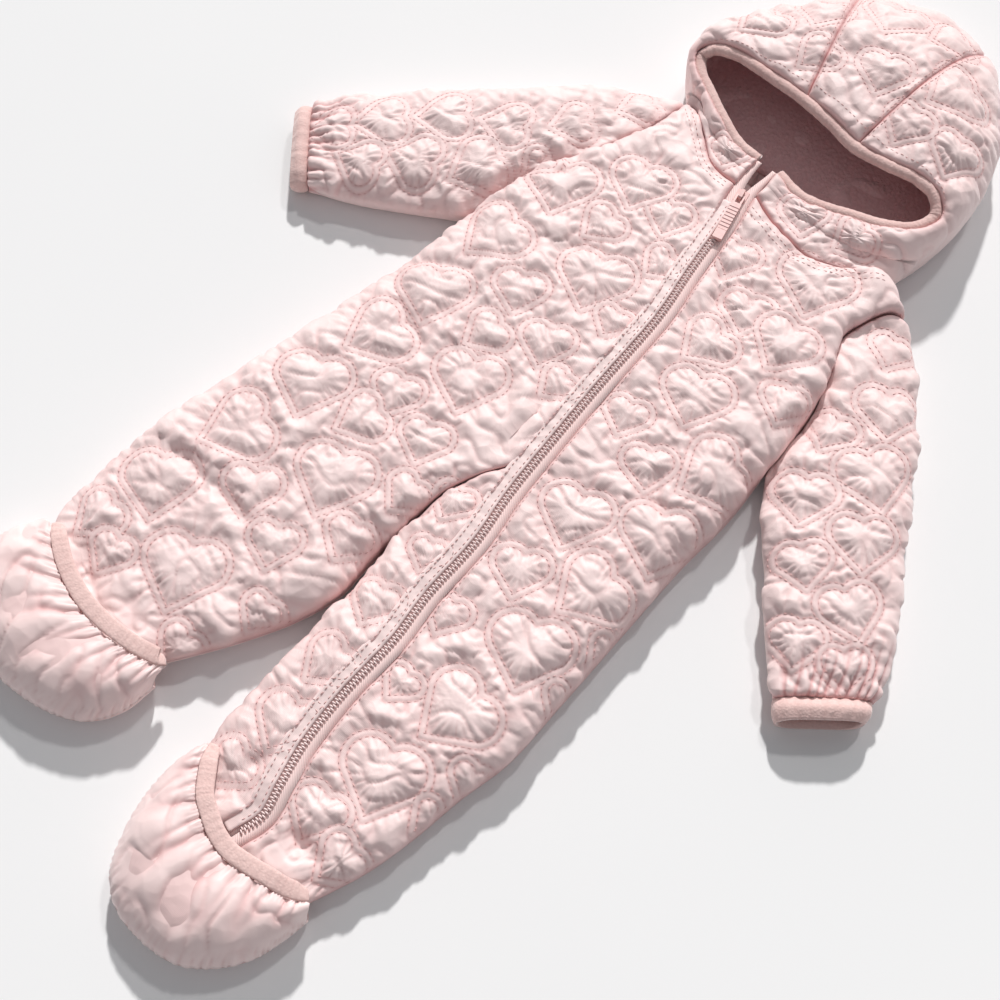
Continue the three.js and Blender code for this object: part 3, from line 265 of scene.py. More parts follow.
# %% Hearts and their distances
# middle x, middle y, size, turn of the tip to the wearer's left in degrees
HEARTS = [
    [-20, 142, 34, 20], [-52, 150, 46, 18], [-92, 112, 52, 24], [-50, 107, 34, -12], [-24, 70, 54, 20],
    [-98, 52, 50, -10], [-55, 30, 38, 26], [-15, 12, 38, 24], [-97, -10, 52, 26], [-50, -8, 34, -16],
    [-34, -42, 50, 24], [-102, -56, 50, -20], [-62, -80, 36, 16], [-25, -92, 36, 22], [-66, -108, 38, -22],
    [-108, -112, 52, 24], [-49, -150, 54, 20], [-120, -166, 52, -26], [-82, -190, 40, 32], [-8, -126, 32, 0],
    [-14, -172, 34, 12], [-45, -206, 36, 28], [-130, -226, 52, 34], [-75, -256, 56, 24], [-20, -242, 28, 6],
    [-142, -266, 36, -8], [-118, -278, 32, 12], [-42, -290, 32, 0], [6, 54, 28, 10], [0, 110, 30, -10],
    [10, -5, 28, -12], [18, -110, 30, 10],
    [86, 168, 54, 20], [32, 148, 36, 16], [66, 120, 38, 22], [99, 118, 46, 6], [62, 84, 40, -14],
    [126, 84, 34, 18], [82, 48, 48, 20], [125, 14, 52, -20], [58, 8, 32, 18], [92, -10, 36, 32],
    [128, -42, 52, 26], [80, -66, 48, 20], [120, -96, 50, -14], [80, -116, 38, 26], [118, -150, 54, 24],
    [152, -118, 26, -10], [153, -158, 26, 10], [66, -166, 30, 12], [112, -206, 52, -12], [76, -216, 26, 0],
    [107, -264, 54, 20], [146, -230, 28, 16], [143, -262, 26, -12], [94, -304, 38, 10], [122, -314, 34, -10],
    [28, -190, 34, 14], [34, -236, 36, -10], [42, -279, 42, 12], [36, -318, 34, -6], [30, -146, 26, 20],
    [-124, 160, 36, -34], [-158, 128, 40, -60], [-148, 88, 46, -20], [-196, 104, 44, -44], [-186, 62, 44, -66],
    [-226, 72, 44, -40], [-214, 36, 38, -70], [-250, 44, 38, -48], [-100, 205, 34, -30], [-118, 118, 28, -10],
    [152, 168, 32, 20], [178, 128, 44, 34], [160, 92, 34, 10], [200, 84, 50, 50], [176, 44, 42, 28],
    [222, 44, 44, 36], [204, 8, 36, 44], [244, 4, 42, 54], [232, -34, 36, 30], [264, -26, 34, 44],
    [-6, 372, 50, 10], [66, 344, 50, -22], [-46, 340, 40, 14], [96, 302, 38, 14], [-74, 306, 40, -18],
    [20, 320, 40, 20], [34, 388, 40, -30], [-24, 304, 34, -16], [58, 298, 36, 6], [46, 206, 34, 30],
    [82, 214, 32, -20], [-26, 212, 30, 20],
]


def in_heart(x, y, heart):
    """A point in the heart's own upright frame, one unit to half its height."""
    hx, hy, size, turn = heart
    a = math.radians(turn)
    scale = size / 1.207
    px = ((x - hx) * math.cos(a) + (y - hy) * math.sin(a)) / scale
    py = (-(x - hx) * math.sin(a) + (y - hy) * math.cos(a)) / scale + 0.58
    return px, py, scale


def heart_distance(x, y, heart):
    px, py, scale = in_heart(x, y, heart)
    px = np.abs(px)
    lobe = np.hypot(px - 0.25, py - 0.75) - math.sqrt(2) / 4
    k = 0.5 * np.maximum(px + py, 0)
    near = np.sqrt(np.minimum(px**2 + (py - 1) ** 2, (px - k) ** 2 + (py - k) ** 2))
    return np.where(px + py > 1, lobe, near * np.sign(px - py)) * scale


def quilt_map(x, y):
    """Distance to the nearest stitched outline that shows, run along it, and which heart it is."""
    near = np.full(x.shape, 60.0)
    run = np.zeros(x.shape)
    owner = np.zeros(x.shape)
    for number, heart in enumerate(HEARTS):
        reach = 0.62 * heart[2] + 18
        m = (np.abs(x - heart[0]) < reach) & (np.abs(y - heart[1]) < reach)
        if not m.any():
            continue
        d = heart_distance(x[m], y[m], heart)
        px, py, scale = in_heart(x[m], y[m], heart)
        around = np.arctan2(px, py - 0.62) * 0.55 * scale
        takes = (d < 0) | (d < near[m])
        near[m] = np.where(d < 0, -d, np.minimum(near[m], d))
        run[m] = np.where(takes, around, run[m])
        owner[m] = np.where(takes, number, owner[m])
    return near, run, owner


print(len(HEARTS), "hearts")

# %% [markdown]
# Two rows of stitches run side by side along every outline. They pull the padded cloth into a groove
# with a low rope between the rows, and the cloth beside them gathers into short puckers that stand
# square to the stitches. Away from the stitches the padding rises to a soft crown with a few creases.
# The same function also gives a painted shade, darkest along the stitched grooves, in the pucker hollows and in the
# creases, which the cloth's colour uses later.

# %% Relief of the quilting
ROW_HALF = 2.2
PUFF = 3.6
PUFF_REACH = 13.0


def quilting(x, y):
    near, run, owner = quilt_map(x, y)
    away = np.maximum(near - ROW_HALF, 0)
    puff = PUFF * (1 - (1 - np.clip(away / PUFF_REACH, 0, 1)) ** 2.2)
    rope = np.where(near < ROW_HALF, 0.55 * (1 - (near / ROW_HALF) ** 2), 0)
    place = run + 2.4 * noise(run / 7, owner * 1.7 + 0.5, 3) + owner * 5.3
    strength = 0.75 + 0.55 * noise(place / 11, owner * 0.9, 5)
    bridge = np.abs(np.sin(np.pi * place / 7.4)) - 0.62
    finer = np.abs(np.sin(np.pi * place / 4.3 + owner)) - 0.62
    spread = (away / 3.2) * np.exp(1 - away / 3.2)
    pucker = strength * (1.35 * bridge + 0.55 * finer) * spread
    crease_x = x / 21 + 0.5 * noise(x / 34, y / 34, 11)
    crease = 1 - np.abs(noise(crease_x, y / 15, 12)) * 3
    crease = np.maximum(crease, 0) ** 2 * np.clip(away / 6, 0, 1)
    ripple = noise(x / 7.5, y / 7.5, 13) * 0.4 * np.clip(away / 3, 0, 1)
    swell = noise(x / 15, y / 15, 14) * 1.3
    lift = puff + rope + pucker - 1.7 * crease + ripple + swell
    # painted shade: darker on and beside the two stitch rows, in the pucker hollows and in the creases
    groove_shade = 0.42 * np.exp(-((near - ROW_HALF) / 0.9) ** 2) + 0.16 * (1 - np.clip(away / 8, 0, 1)) ** 2
    shade = groove_shade + 0.4 * np.clip(-pucker, 0, 1) + 0.22 * crease
    return lift, np.clip(shade, 0, 1)


test_lift, test_shade = quilting(np.array([-24.0, -24.0]), np.array([70.0, 40.0]))
print("lift of the quilting, mm:", test_lift.round(2))

# %% [markdown]
# A panel is the cloth between a left and a right line, with its height falling to the height of each
# seam in a quarter round. Two shares, down its length and across its width, give any point on it, so
# one function serves every panel at any fineness.


# %% Panels
def panel(left, right, top, sides, length, head=None, foot=None):
    def point(s, t):
        a, b = left(s), right(s)
        wide = np.hypot(b[..., 0] - a[..., 0], b[..., 1] - a[..., 1])
        flat = mix(a, b, t[..., None])[..., :2]
        for curve, fade in ((head, 1 - ease(s / 0.28)), (foot, ease((s - 0.7) / 0.3))):
            if curve:
                ends = curve(np.array([0.0, 1.0]))[:, :2]
                flat = flat + (curve(t)[..., :2] - mix(ends[0], ends[1], t[..., None])) * fade[..., None]
        x, y = flat[..., 0], flat[..., 1]
        high = top(x, y)
        away = {"left": t * wide, "right": (1 - t) * wide, "head": s * length}
        drop = np.zeros_like(high)
        for side, reach, level in sides:
            place = t if side == "head" else s
            width = reach(place) if callable(reach) else reach
            own = (high - level(place, x, y)) * (1 - quarter(away[side] / width))
            drop = np.where(np.abs(own) > np.abs(drop), own, drop)
        return np.stack([x, y, high - drop], axis=-1)

    def edge(s, t):
        gap = right(s) - left(s)
        wide = np.hypot(gap[..., 0], gap[..., 1])
        return np.minimum(np.minimum(t, 1 - t) * wide, np.minimum(s, 1 - s) * length)

    return point, edge


SEAM_TOP = SEAM_Z + 0.2
SEAM_UNDER = SEAM_Z - 0.2
ARM_SHARE = {"right": 0.33, "left": 0.29}


def arm_rise(rows):
    table = stepped(rows)
    return lambda q: SEAM_TOP + (table(q) - SEAM_TOP) * np.minimum(quarter(q / 0.09), quarter((1 - q) / 0.14))


ARM_TOP = {
    "right": arm_rise([[0, 27], [0.55, 26], [0.8, 22], [1, 18]]),
    "left": arm_rise([[0, 26], [0.4, 25], [0.58, 19], [0.85, 16], [1, 15]]),
}


def side_top(side):
    share = ARM_SHARE[side]
    return lambda s, x, y: np.where(s < share, ARM_TOP[side](np.minimum(s / share, 1)), SEAM_TOP)


def side_under(side):
    share = ARM_SHARE[side]

    def level(s, x, y):
        q = np.minimum(s / share, 1)
        return np.where(s < share, SEAM_UNDER * (1 - quarter(np.minimum(q, 1 - q) / 0.11)), SEAM_UNDER)

    return level


zip_right = beside(PLAN["zip"], -ZIP_HALF)
zip_left = beside(PLAN["zip"], ZIP_HALF)
ZIP_START = share_at_y(PLAN["zip"], 196)
ZIP_FORK = share_at_y(zip_right, -64)
crotch_drop = stepped([[0, 1], [0.5, 4], [0.8, 9], [1, 21]])


def crotch_height(q, x, y):
    return np.maximum(SEAM_TOP, crown(x, y) - crotch_drop(np.clip(q, 0, 1)))


def right_inner(s, x, y):
    """Height of the right front's edge: level at the zip, then falling along the crotch."""
    crotch = np.where(s < 0.7, crotch_height((s - 0.52) / 0.18, x, y), SEAM_TOP)
    return np.where(s < 0.52, crown(x, y), crotch)


def right_neck(t, x, y):
    return np.minimum(crown(x, y), SEAM_TOP + mix(15, 27, t) * quarter(t / 0.25))


def left_neck(t, x, y):
    return np.minimum(crown(x, y), SEAM_TOP + mix(27, 14, t / 0.79) * quarter((0.79 - t) / 0.2))


def left_inner(s, x, y):
    return np.where(s < 0.33, crotch_height(s / 0.33, x, y), SEAM_TOP)


front_right = panel(
    left=joined((ARM_SHARE["right"], PLAN["arm_right"], 0, 1), (1, PLAN["side_right"], 0, 1)),
    right=joined((0.52, zip_right, ZIP_START, ZIP_FORK), (0.7, PLAN["crotch"], 0, 1),
                 (1, PLAN["inseam_right"], 0, 1)),
    head=line([[-76, 233], [-62, 226], [-48, 214], [-28, 199], [-5, 196]]),
    foot=line([[-150, -304], [-122, -318], [-88, -325], [-62, -322], [-50, -316]]),
    top=crown, length=520,
    sides=[("left", lambda s: mix(18, 32, ease((s - 0.24) / 0.1)), side_top("right")),
           ("right", lambda s: mix(16, 26, ease((s - 0.66) / 0.1)), right_inner),
           ("head", 18, right_neck)],
)
front_left = panel(
    left=joined((1, zip_left, ZIP_START, 1)),
    right=joined((ARM_SHARE["left"], PLAN["arm_left"], 0, 1), (1, PLAN["side_left"], 0, 1)),
    head=line([[11, 197], [35, 188], [65, 184], [88, 193], [104, 205], [117, 212], [131, 206], [143, 197]]),
    top=crown, length=545,
    sides=[("right", lambda s: mix(18, 32, ease((s - 0.2) / 0.1)), side_top("left")), ("head", 18, left_neck)],
)
leg_left_inner = panel(
    left=joined((0.33, PLAN["crotch"], 0.03, 1), (1, PLAN["inseam_left"], 0, 1)),
    right=joined((1, zip_right, ZIP_FORK + 0.012, 1)),
    top=crown, length=292,
    sides=[("left", lambda s: mix(16, 26, ease((s - 0.28) / 0.15)), left_inner)],
)


def flat_under(x, y):
    return np.zeros_like(x)


def back_inner(share):
    return lambda s, x, y: np.where(s > share, SEAM_UNDER, SEAM_UNDER * (1 - quarter((share - s) / 0.06)))


back_right = panel(
    left=joined((ARM_SHARE["right"], PLAN["arm_right"], 0, 1), (1, PLAN["side_right"], 0, 1)),
    right=joined((0.7, PLAN["centre_back"], 0, 1), (1, PLAN["inseam_right"], 0, 1)),
    head=line([[-76, 233], [-40, 226], [6, 221]]), top=flat_under, length=520,
    sides=[("left", UNDER_ROUND, side_under("right")), ("right", UNDER_ROUND, back_inner(0.7)),
           ("head", UNDER_ROUND, lambda t, x, y: SEAM_UNDER * (1 - quarter(t / 0.14)))],
)
back_left = panel(
    left=joined((0.62, PLAN["centre_back"], 0, 1), (1, PLAN["inseam_left"], 0, 1)),
    right=joined((ARM_SHARE["left"], PLAN["arm_left"], 0, 1), (1, PLAN["side_left"], 0, 1)),
    head=line([[6, 221], [60, 217], [117, 212], [131, 206], [143, 197]]), top=flat_under, length=545,
    sides=[("left", UNDER_ROUND, back_inner(0.62)), ("right", UNDER_ROUND, side_under("left")),
           ("head", UNDER_ROUND, lambda t, x, y: SEAM_UNDER * (1 - quarter((0.79 - t) / 0.14)))],
)
print("five panels described")

# %% [markdown]
# Sleeves and cuffs are closed round. One share runs from shoulder to cuff, the other goes once round:
# the first half is the upper side and the second half the underside, which lies flat. At the armhole a
# sleeve starts on the panels' own edges, and over its first third it takes its own outline.


# %% Sleeves and cuffs
def sleeve(low, high, height, length, arm=None):
    start = (low(0.0) + high(0.0)) / 2
    axis = (low(0.4) + high(0.4)) / 2 - start
    axis /= np.linalg.norm(axis)

    def sides(k):
        turn = k - np.floor(k)
        upper = turn < 0.5
        return upper, np.where(upper, 2 * turn, 2 * (1 - turn))

    def armhole(upper, t):
        s = arm["share"] * (1 - t)
        side = np.full_like(s, arm["side"])
        return np.where(upper[..., None], arm["front"](s, side), arm["back"](s, side))

    def point(s, k):
        upper, t = sides(k)
        a, b = low(s), high(s)
        wide = np.hypot(b[..., 0] - a[..., 0], b[..., 1] - a[..., 1])
        p = mix(a, b, t[..., None])
        away = np.minimum(t, 1 - t) * wide
        tall = height(s) - fold_depth(p[..., 0], p[..., 1])
        over = 12.5 + (tall - 12.5) * quarter(away / (0.34 * wide))
        under = 12.5 * (1 - quarter(away / UNDER_ROUND))
        p[..., 2] = np.where(upper, over, under)
        if arm:
            fade = (1 - ease(s / 0.3))[..., None]
            here = armhole(upper, t)
            low_end, high_end = armhole(upper, np.zeros_like(t)), armhole(upper, np.ones_like(t))
            z = mix(p[..., 2], here[..., 2], 1 - ease(s * length / 24))
            p = p + (here - mix(low_end, high_end, t[..., None])) * fade + 0.3 * axis
            p[..., 2] = z
        return p

    def edge(s, k):
        return np.minimum(s, 1 - s) * length

    return point, edge


sleeve_right = sleeve(
    low=line([[-130, 60], [-152, 46], [-175, 31], [-196, 18], [-216, 8], [-232, 2]]),
    high=line([[-76, 233], [-108, 225], [-136, 204], [-163, 179], [-189, 153], [-215, 128], [-240, 101],
               [-262, 76], [-279, 53]]),
    height=stepped([[0, 31], [0.5, 30], [0.85, 27], [1, 22]]), length=190,
    arm={"front": front_right[0], "back": back_right[0], "side": 0.0, "share": ARM_SHARE["right"]},
)
sleeve_left = sleeve(
    low=line([[145, 48], [158, 28], [176, 6], [190, -9], [203, -26], [220, -45], [242, -66]]),
    high=line([[143, 197], [160, 185], [184, 157], [208, 124], [226, 93], [240, 68], [262, 32], [279, 1],
               [288, -27]]),
    height=stepped([[0, 30], [0.5, 31], [0.85, 27], [1, 22]]), length=205,
    arm={"front": front_left[0], "back": back_left[0], "side": 1.0, "share": ARM_SHARE["left"]},
)
cuff_right = sleeve(
    low=line([[-232.3, 1.7], [-237, -2], [-242, -6]]), high=line([[-279.3, 52.6], [-283, 48], [-286, 42]]),
    height=stepped([[0, 21], [0.5, 22], [1, 19]]), length=11,
)
cuff_left = sleeve(
    low=line([[242.3, -66.4], [247, -71], [252, -77]]), high=line([[288.2, -27.5], [291, -34], [293, -41]]),
    height=stepped([[0, 21], [0.5, 24], [1, 23]]), length=12,
)
print("two sleeves, two cuffs described")

# %% [markdown]
# The hood is one bag in three pieces. Each row of the table is a section round it: the rim is where the
# cloth turns over at the silhouette, and the face is where it ends at the face opening. Between the rows
# the lines are smooth, so the hood has no corners but those of the opening.

# %% Hood
# rim x, y, z, face x, y, z
HOOD = [
    [-6, 209, 35, -6, 221, 36], [-27, 211, 34, -24, 221, 37], [-50, 223, 33, -46, 229, 39],
    [-67, 235, 32, -70, 241, 40], [-85, 244, 22, -87, 250, 41], [-102, 262, 18, -95, 261, 43],
    [-104, 285, 16, -88, 270, 48], [-99, 312, 16, -71, 275, 51], [-78, 350, 16, -42, 276, 52],
    [-46, 395, 16, -9, 275, 53], [6, 421, 16, 16, 272, 53], [52, 415, 16, 41, 268, 52],
    [90, 379, 16, 65, 271, 52], [114, 340, 16, 87, 276, 51], [125, 300, 16, 105, 275, 48],
    [126, 266, 18, 116, 264, 43], [121, 240, 23, 111, 248, 41], [104, 221, 30, 92, 235, 39],
    [84, 211, 34, 70, 227, 38], [58, 205, 35.5, 52, 220, 37.5], [35, 205, 36, 34, 216, 37],
    [11, 209, 35, 10, 221, 36],
]
LAST = len(HOOD) - 1
RIM_SHARE = 0.4
CORNER = 0.79
rim_line = line([row[:3] for row in HOOD], by_row=True)
face_line = line([row[3:] for row in HOOD], by_row=True)


def neck_at(u):
    """Where a section of the hood meets the fronts and the backs."""
    row = u * LAST
    zero = np.zeros_like(row)
    parts = [
        (row < 4, front_right[0], 1 - row / 4), ((row >= 4) & (row < 10), back_right[0], (row - 4) / 6),
        ((row >= 10) & (row < 16), back_left[0], CORNER * (row - 10) / 6),
        (row >= 16, front_left[0], CORNER * (1 - (row - 16) / 5)),
    ]
    out = np.zeros(row.shape + (3,))
    for here, point, t in parts:
        out = np.where(here[..., None], point(zero, np.clip(t, 0, 1)), out)
    return out


def hood_point(u, v):
    neck, rim, face = neck_at(u), rim_line(u), face_line(u)
    to_rim = (rim - neck)[..., :2]
    under = np.maximum(np.linalg.norm(to_rim, axis=-1), 0.1)
    neck[..., :2] += to_rim / under[..., None] * 0.3
    q = np.clip(v / RIM_SHARE, 0, 1)
    fall = 1 - quarter((1 - q) * under / np.minimum(14, under))
    below = mix(neck, rim, q[..., None])
    below[..., 2] = mix(neck[..., 2], rim[..., 2], fall)
    q = np.clip((v - RIM_SHARE) / (1 - RIM_SHARE), 0, 1)
    over = np.maximum(np.linalg.norm((face - rim)[..., :2], axis=-1), 0.1)
    high = face[..., 2] + 0.3 * over * q * (1 - q)
    fall = 1 - quarter(q * over / np.minimum(over, np.maximum(14, 0.7 * over)))
    above = mix(rim, face, q[..., None])
    above[..., 2] = mix(high, rim[..., 2], fall)
    return np.where((v < RIM_SHARE)[..., None], below, above)


def hood_edge(u, v):
    rim = rim_line(u)
    under = np.linalg.norm((neck_at(u) - rim)[..., :2], axis=-1)
    over = np.linalg.norm((face_line(u) - rim)[..., :2], axis=-1)
    down = np.where(v < RIM_SHARE, v / RIM_SHARE * under, under + (v - RIM_SHARE) / (1 - RIM_SHARE) * over)
    row = u * LAST
    seam = np.minimum(np.minimum(row, LAST - row), np.minimum(np.abs(row - 9), np.abs(row - 11))) * 34
    return np.minimum(seam, np.minimum(down, under + over - down))


print("hood of", len(HOOD), "sections described")

# %% [markdown]
# Cloth has two faces and a thickness. Each piece is a fine outer grid, a plain inner grid with a quarter
# as many cells each way, and a rim that joins them, so it is one closed body and stays light. A
# Solidify modifier would double the fine side for nothing that shows.


# %% Walls of cloth
def normals(point, s, t, facing, wrap):
    h = 0.0008
    s0, s1 = np.clip(s - h, 0, 1), np.clip(s + h, 0, 1)
    t0, t1 = (t - h, t + h) if wrap else (np.clip(t - h, 0, 1), np.clip(t + h, 0, 1))
    n = np.cross(point(s1, t) - point(s0, t), point(s, t1) - point(s, t0)) * facing
    return n / np.maximum(np.linalg.norm(n, axis=-1, keepdims=True), 1e-9)


def shares(total, cell=None, ease_in=True, ratio=4):
    """Even shares over a length, in a whole number of coarse cells."""
    count = max(2, round(total / ((cell or FINE) * ratio))) * ratio
    return np.linspace(0, 1, count + 1)


def mesh_object(name, points, faces, attributes=None, material=None):
    mesh = bpy.data.meshes.new(name)
    mesh.from_pydata(((points + SHIFT) / 1000).tolist(), [], faces)
    for key, values in (attributes or {}).items():
        mesh.attributes.new(key, "FLOAT", "POINT").data.foreach_set("value", np.asarray(values, np.float32))
    mesh.polygons.foreach_set("use_smooth", np.ones(len(mesh.polygons), bool))
    mesh.update()
    obj = bpy.data.objects.new(name, mesh)
    bpy.context.scene.collection.objects.link(obj)
    if material:
        mesh.materials.append(material)
    return obj


def signed_volume(points, faces):
    total = 0.0
    for face in faces:
        a = points[face[0]]
        for b, c in zip(face[1:], face[2:]):
            total += np.dot(a, np.cross(points[b], points[c]))
    return total / 6


def closed_wall(name, outer, inner, ratio, wrap, attribute, material):
    """One closed body from an outer grid and an inner grid with a share of its cells."""
    rows, cols = outer.shape[:2]
    inner_rows, inner_cols = inner.shape[:2]
    out_id = np.arange(rows * cols).reshape(rows, cols)
    in_id = rows * cols + np.arange(inner_rows * inner_cols).reshape(inner_rows, inner_cols)
    if wrap:
        out_id = np.hstack([out_id, out_id[:, :1]])
        in_id = np.hstack([in_id, in_id[:, :1]])
    quads = [out_id[:-1, :-1], out_id[1:, :-1], out_id[1:, 1:], out_id[:-1, 1:]]
    faces = np.stack(quads, axis=-1).reshape(-1, 4).tolist()
    quads = [in_id[:-1, :-1], in_id[:-1, 1:], in_id[1:, 1:], in_id[1:, :-1]]
    faces += np.stack(quads, axis=-1).reshape(-1, 4).tolist()

    def rim(out, inn):
        for j in range(len(inn) - 1):
            fan = out[j * ratio:(j + 1) * ratio + 1]
            half = ratio // 2
            for a, b in zip(fan[:half], fan[1:half + 1]):
                faces.append([a, b, inn[j]])
            faces.append([fan[half], inn[j + 1], inn[j]])
            for a, b in zip(fan[half:-1], fan[half + 1:]):
                faces.append([a, b, inn[j + 1]])

    out, inn = out_id.tolist(), in_id.tolist()
    rim(out[0], inn[0])
    rim(out[-1][::-1], inn[-1][::-1])
    if not wrap:
        rim([r[0] for r in out][::-1], [r[0] for r in inn][::-1])
        rim([r[-1] for r in out], [r[-1] for r in inn])
    points = np.vstack([outer.reshape(-1, 3), inner.reshape(-1, 3)])
    if signed_volume(points, faces[: len(faces)]) < 0:
        faces = [face[::-1] for face in faces]
    # painted shade: the outer grid carries the shade worked out for it, the inner grid a flat shade of 0.3
    shade = np.concatenate([attribute.ravel(), np.full(inner_rows * inner_cols, 0.3)])
    return mesh_object(name, points, faces, {"depth": shade}, material)


def cloth(name, surface, s, t, facing, wall, material, wrap=False, relief=None, quilt=True, ratio=4):
    """A cloth piece over a surface; relief adds its own (height, painted shade) to the quilting."""
    point, edge = surface
    S, T = np.meshgrid(s, t[:-1] if wrap else t, indexing="ij")
    base = point(S, T)
    n = normals(point, S, T, facing, wrap)
    margin = edge(S, T)
    lift = np.zeros(S.shape)
    shade = np.zeros(S.shape)
    if quilt:
        up = np.clip((n[..., 2] + 0.02) / 0.32, 0, 1)
        height, deep = quilting(base[..., 0], base[..., 1])
        inward = quarter(margin / 5)
        lift += height * inward * up - 0.9 * np.exp(-margin / 1.2) * up
        # painted shade: deep is the quilting's shade on faces that look up, and every edge of the piece is painted
        # darker where it turns into a seam
        shade += np.maximum(deep * up, 0.9 * np.exp(-margin / 2.5))
    if relief:
        height, deep = relief(S, T, base)
        lift += height
        # a relief's second value is its painted shade
        shade += deep
    outer = base + n * lift[..., None]
    every = (slice(None, None, ratio), slice(None, None, ratio))
    inner = base[every] - n[every] * wall
    return closed_wall(name, outer, inner, ratio, wrap, np.clip(shade, 0, 1), material)


print("wall maker ready")

# %% [markdown]
# Materials are node trees. Writing shader maths as plain expressions keeps them readable, so one small
# class wraps a socket and adds a Math node for each operator, and one method makes any other node.


# %% Shader expressions
class Value:
    """A node's output that can be used in sums."""

    def __init__(self, tree, socket):
        self.tree, self.socket = tree, socket

    def _math(self, operation, first, second):
        node = self.tree.nodes.new("ShaderNodeMath")
        node.operation = operation
        for slot, item in zip(node.inputs, (first, second)):
            if isinstance(item, Value):
                self.tree.links.new(item.socket, slot)
            else:
                slot.default_value = item
        return Value(self.tree, node.outputs[0])

    def __add__(self, other):
        return self._math("ADD", self, other)

    __radd__ = __add__

    def __sub__(self, other):
        return self._math("SUBTRACT", self, other)

    def __rsub__(self, other):
        return self._math("SUBTRACT", other, self)

    def __mul__(self, other):
        return self._math("MULTIPLY", self, other)

    __rmul__ = __mul__

    def __pow__(self, other):
        return self._math("POWER", self, other)


class Finish:
    """A material under construction."""

    def __init__(self, name, roughness, sheen=0.0, specular=0.5):
        self.material = bpy.data.materials.new(name)
        self.material.use_nodes = True
        self.tree = self.material.node_tree
        self.shader = self.tree.nodes["Principled BSDF"]
        self.shader.inputs["Roughness"].default_value = roughness
        self.shader.inputs["Sheen Weight"].default_value = sheen
        self.shader.inputs["Sheen Roughness"].default_value = 0.4
        self.shader.inputs["Specular IOR Level"].default_value = specular

    def node(self, kind, settings=None, output=0, **inputs):
        node = self.tree.nodes.new(kind)
        for key, value in (settings or {}).items():
            if key == "stops":
                ramp = node.color_ramp
                while len(ramp.elements) < len(value):
                    ramp.elements.new(0.5)
                for element, (place, colour) in zip(ramp.elements, value):
                    element.position = place
                    element.color = (*colour, 1)
            else:
                setattr(node, key, value)
        for key, value in inputs.items():
            slot = node.inputs[int(key[1:]) if key[0] == "_" else key.replace("_", " ")]
            if isinstance(value, Value):
                self.tree.links.new(value.socket, slot)
            else:
                slot.default_value = value
        return Value(self.tree, node.outputs[output])

    def place(self):
        return self.node("ShaderNodeTexCoord", output=3)

    def colours(self, factor, first, second):
        return self.node("ShaderNodeMix", {"data_type": "RGBA"}, output=2, _0=factor, _6=(*first, 1), _7=(*second, 1))

    def feed(self, name, value):
        self.tree.links.new(value.socket, self.shader.inputs[name])

    def bump(self, height, strength, distance):
        made = self.node("ShaderNodeBump", Height=height, Strength=strength, Distance=distance)
        self.feed("Normal", made)
        return self.material


def attribute(finish, name):
    return finish.node("ShaderNodeAttribute", {"attribute_name": name}, output=2)


print("material maker ready")

# %% [markdown]
# The shell is a smooth, tightly woven pink with a soft shine. Down in the grooves less light reaches and it bounces
# from pink to pink, so that shade is painted into the colour as a deeper, warmer pink. Bump adds
# the weave, which is far finer than the mesh, and small crinkles between the puckers.


# %% Shell cloth
def shell_cloth(name, pale, deep, crinkle):
    f = Finish(name, roughness=0.52, sheen=0.25, specular=0.42)
    place = f.place()
    depth = attribute(f, "depth")
    blotch = f.node("ShaderNodeTexNoise", Vector=place, Scale=24.0, Detail=3.0, Roughness=0.55)
    # painted shade: the shade attribute pulls the colour from pale towards deep, the painted shade pink; the blotch
    # noise is the cloth's own uneven tone
    tone = depth * 0.9 + (blotch - 0.5) * 0.14
    f.feed("Base Color", f.colours(tone, pale, deep))
    warp = f.node("ShaderNodeTexWave", {"bands_direction": "X"}, output=1, Vector=place, Scale=420.0, Distortion=0.6)
    weft = f.node("ShaderNodeTexWave", {"bands_direction": "Y"}, output=1, Vector=place, Scale=420.0, Distortion=0.6)
    small = f.node("ShaderNodeTexNoise", Vector=place, Scale=260.0, Detail=4.0, Roughness=0.6)
    broad = f.node("ShaderNodeTexNoise", Vector=place, Scale=70.0, Detail=2.0, Roughness=0.5)
    shifted = f.node("ShaderNodeTexNoise", {}, 1, Vector=place, Scale=45.0, Detail=1.0)
    bent = f.node("ShaderNodeVectorMath", {"operation": "MULTIPLY_ADD"}, _0=shifted, _1=(0.014, 0.014, 0.014), _2=place)
    facets = f.node("ShaderNodeTexVoronoi", {"feature": "F1"}, Vector=bent, Scale=105.0)
    height = (warp + weft) * 0.04 + small * 0.3 * crinkle + broad * 0.8 * crinkle + facets * 1.1 * crinkle
    f.feed("Roughness", 0.46 + small * 0.14)
    return f.bump(height, 0.6, 0.0012)


# PALE is the cloth's own pink; the second colour is the painted shade pink of grooves, creases and seams
PALE = (0.93, 0.735, 0.715)
PAINTED_SHADE_PINK = (0.68, 0.34, 0.335)
shell_material = shell_cloth("quilted_shell", PALE, PAINTED_SHADE_PINK, 1.0)
plain_material = shell_cloth("plain_shell", PALE, PAINTED_SHADE_PINK, 0.7)
print("shell cloths made")

# %% [markdown]
# Fleece is a short, dense pile: dusty pink, with no shine but a strong sheen at grazing angles, and
# small clumps that a cell noise gives. The velour bindings are the same kind of cloth, closer and paler.


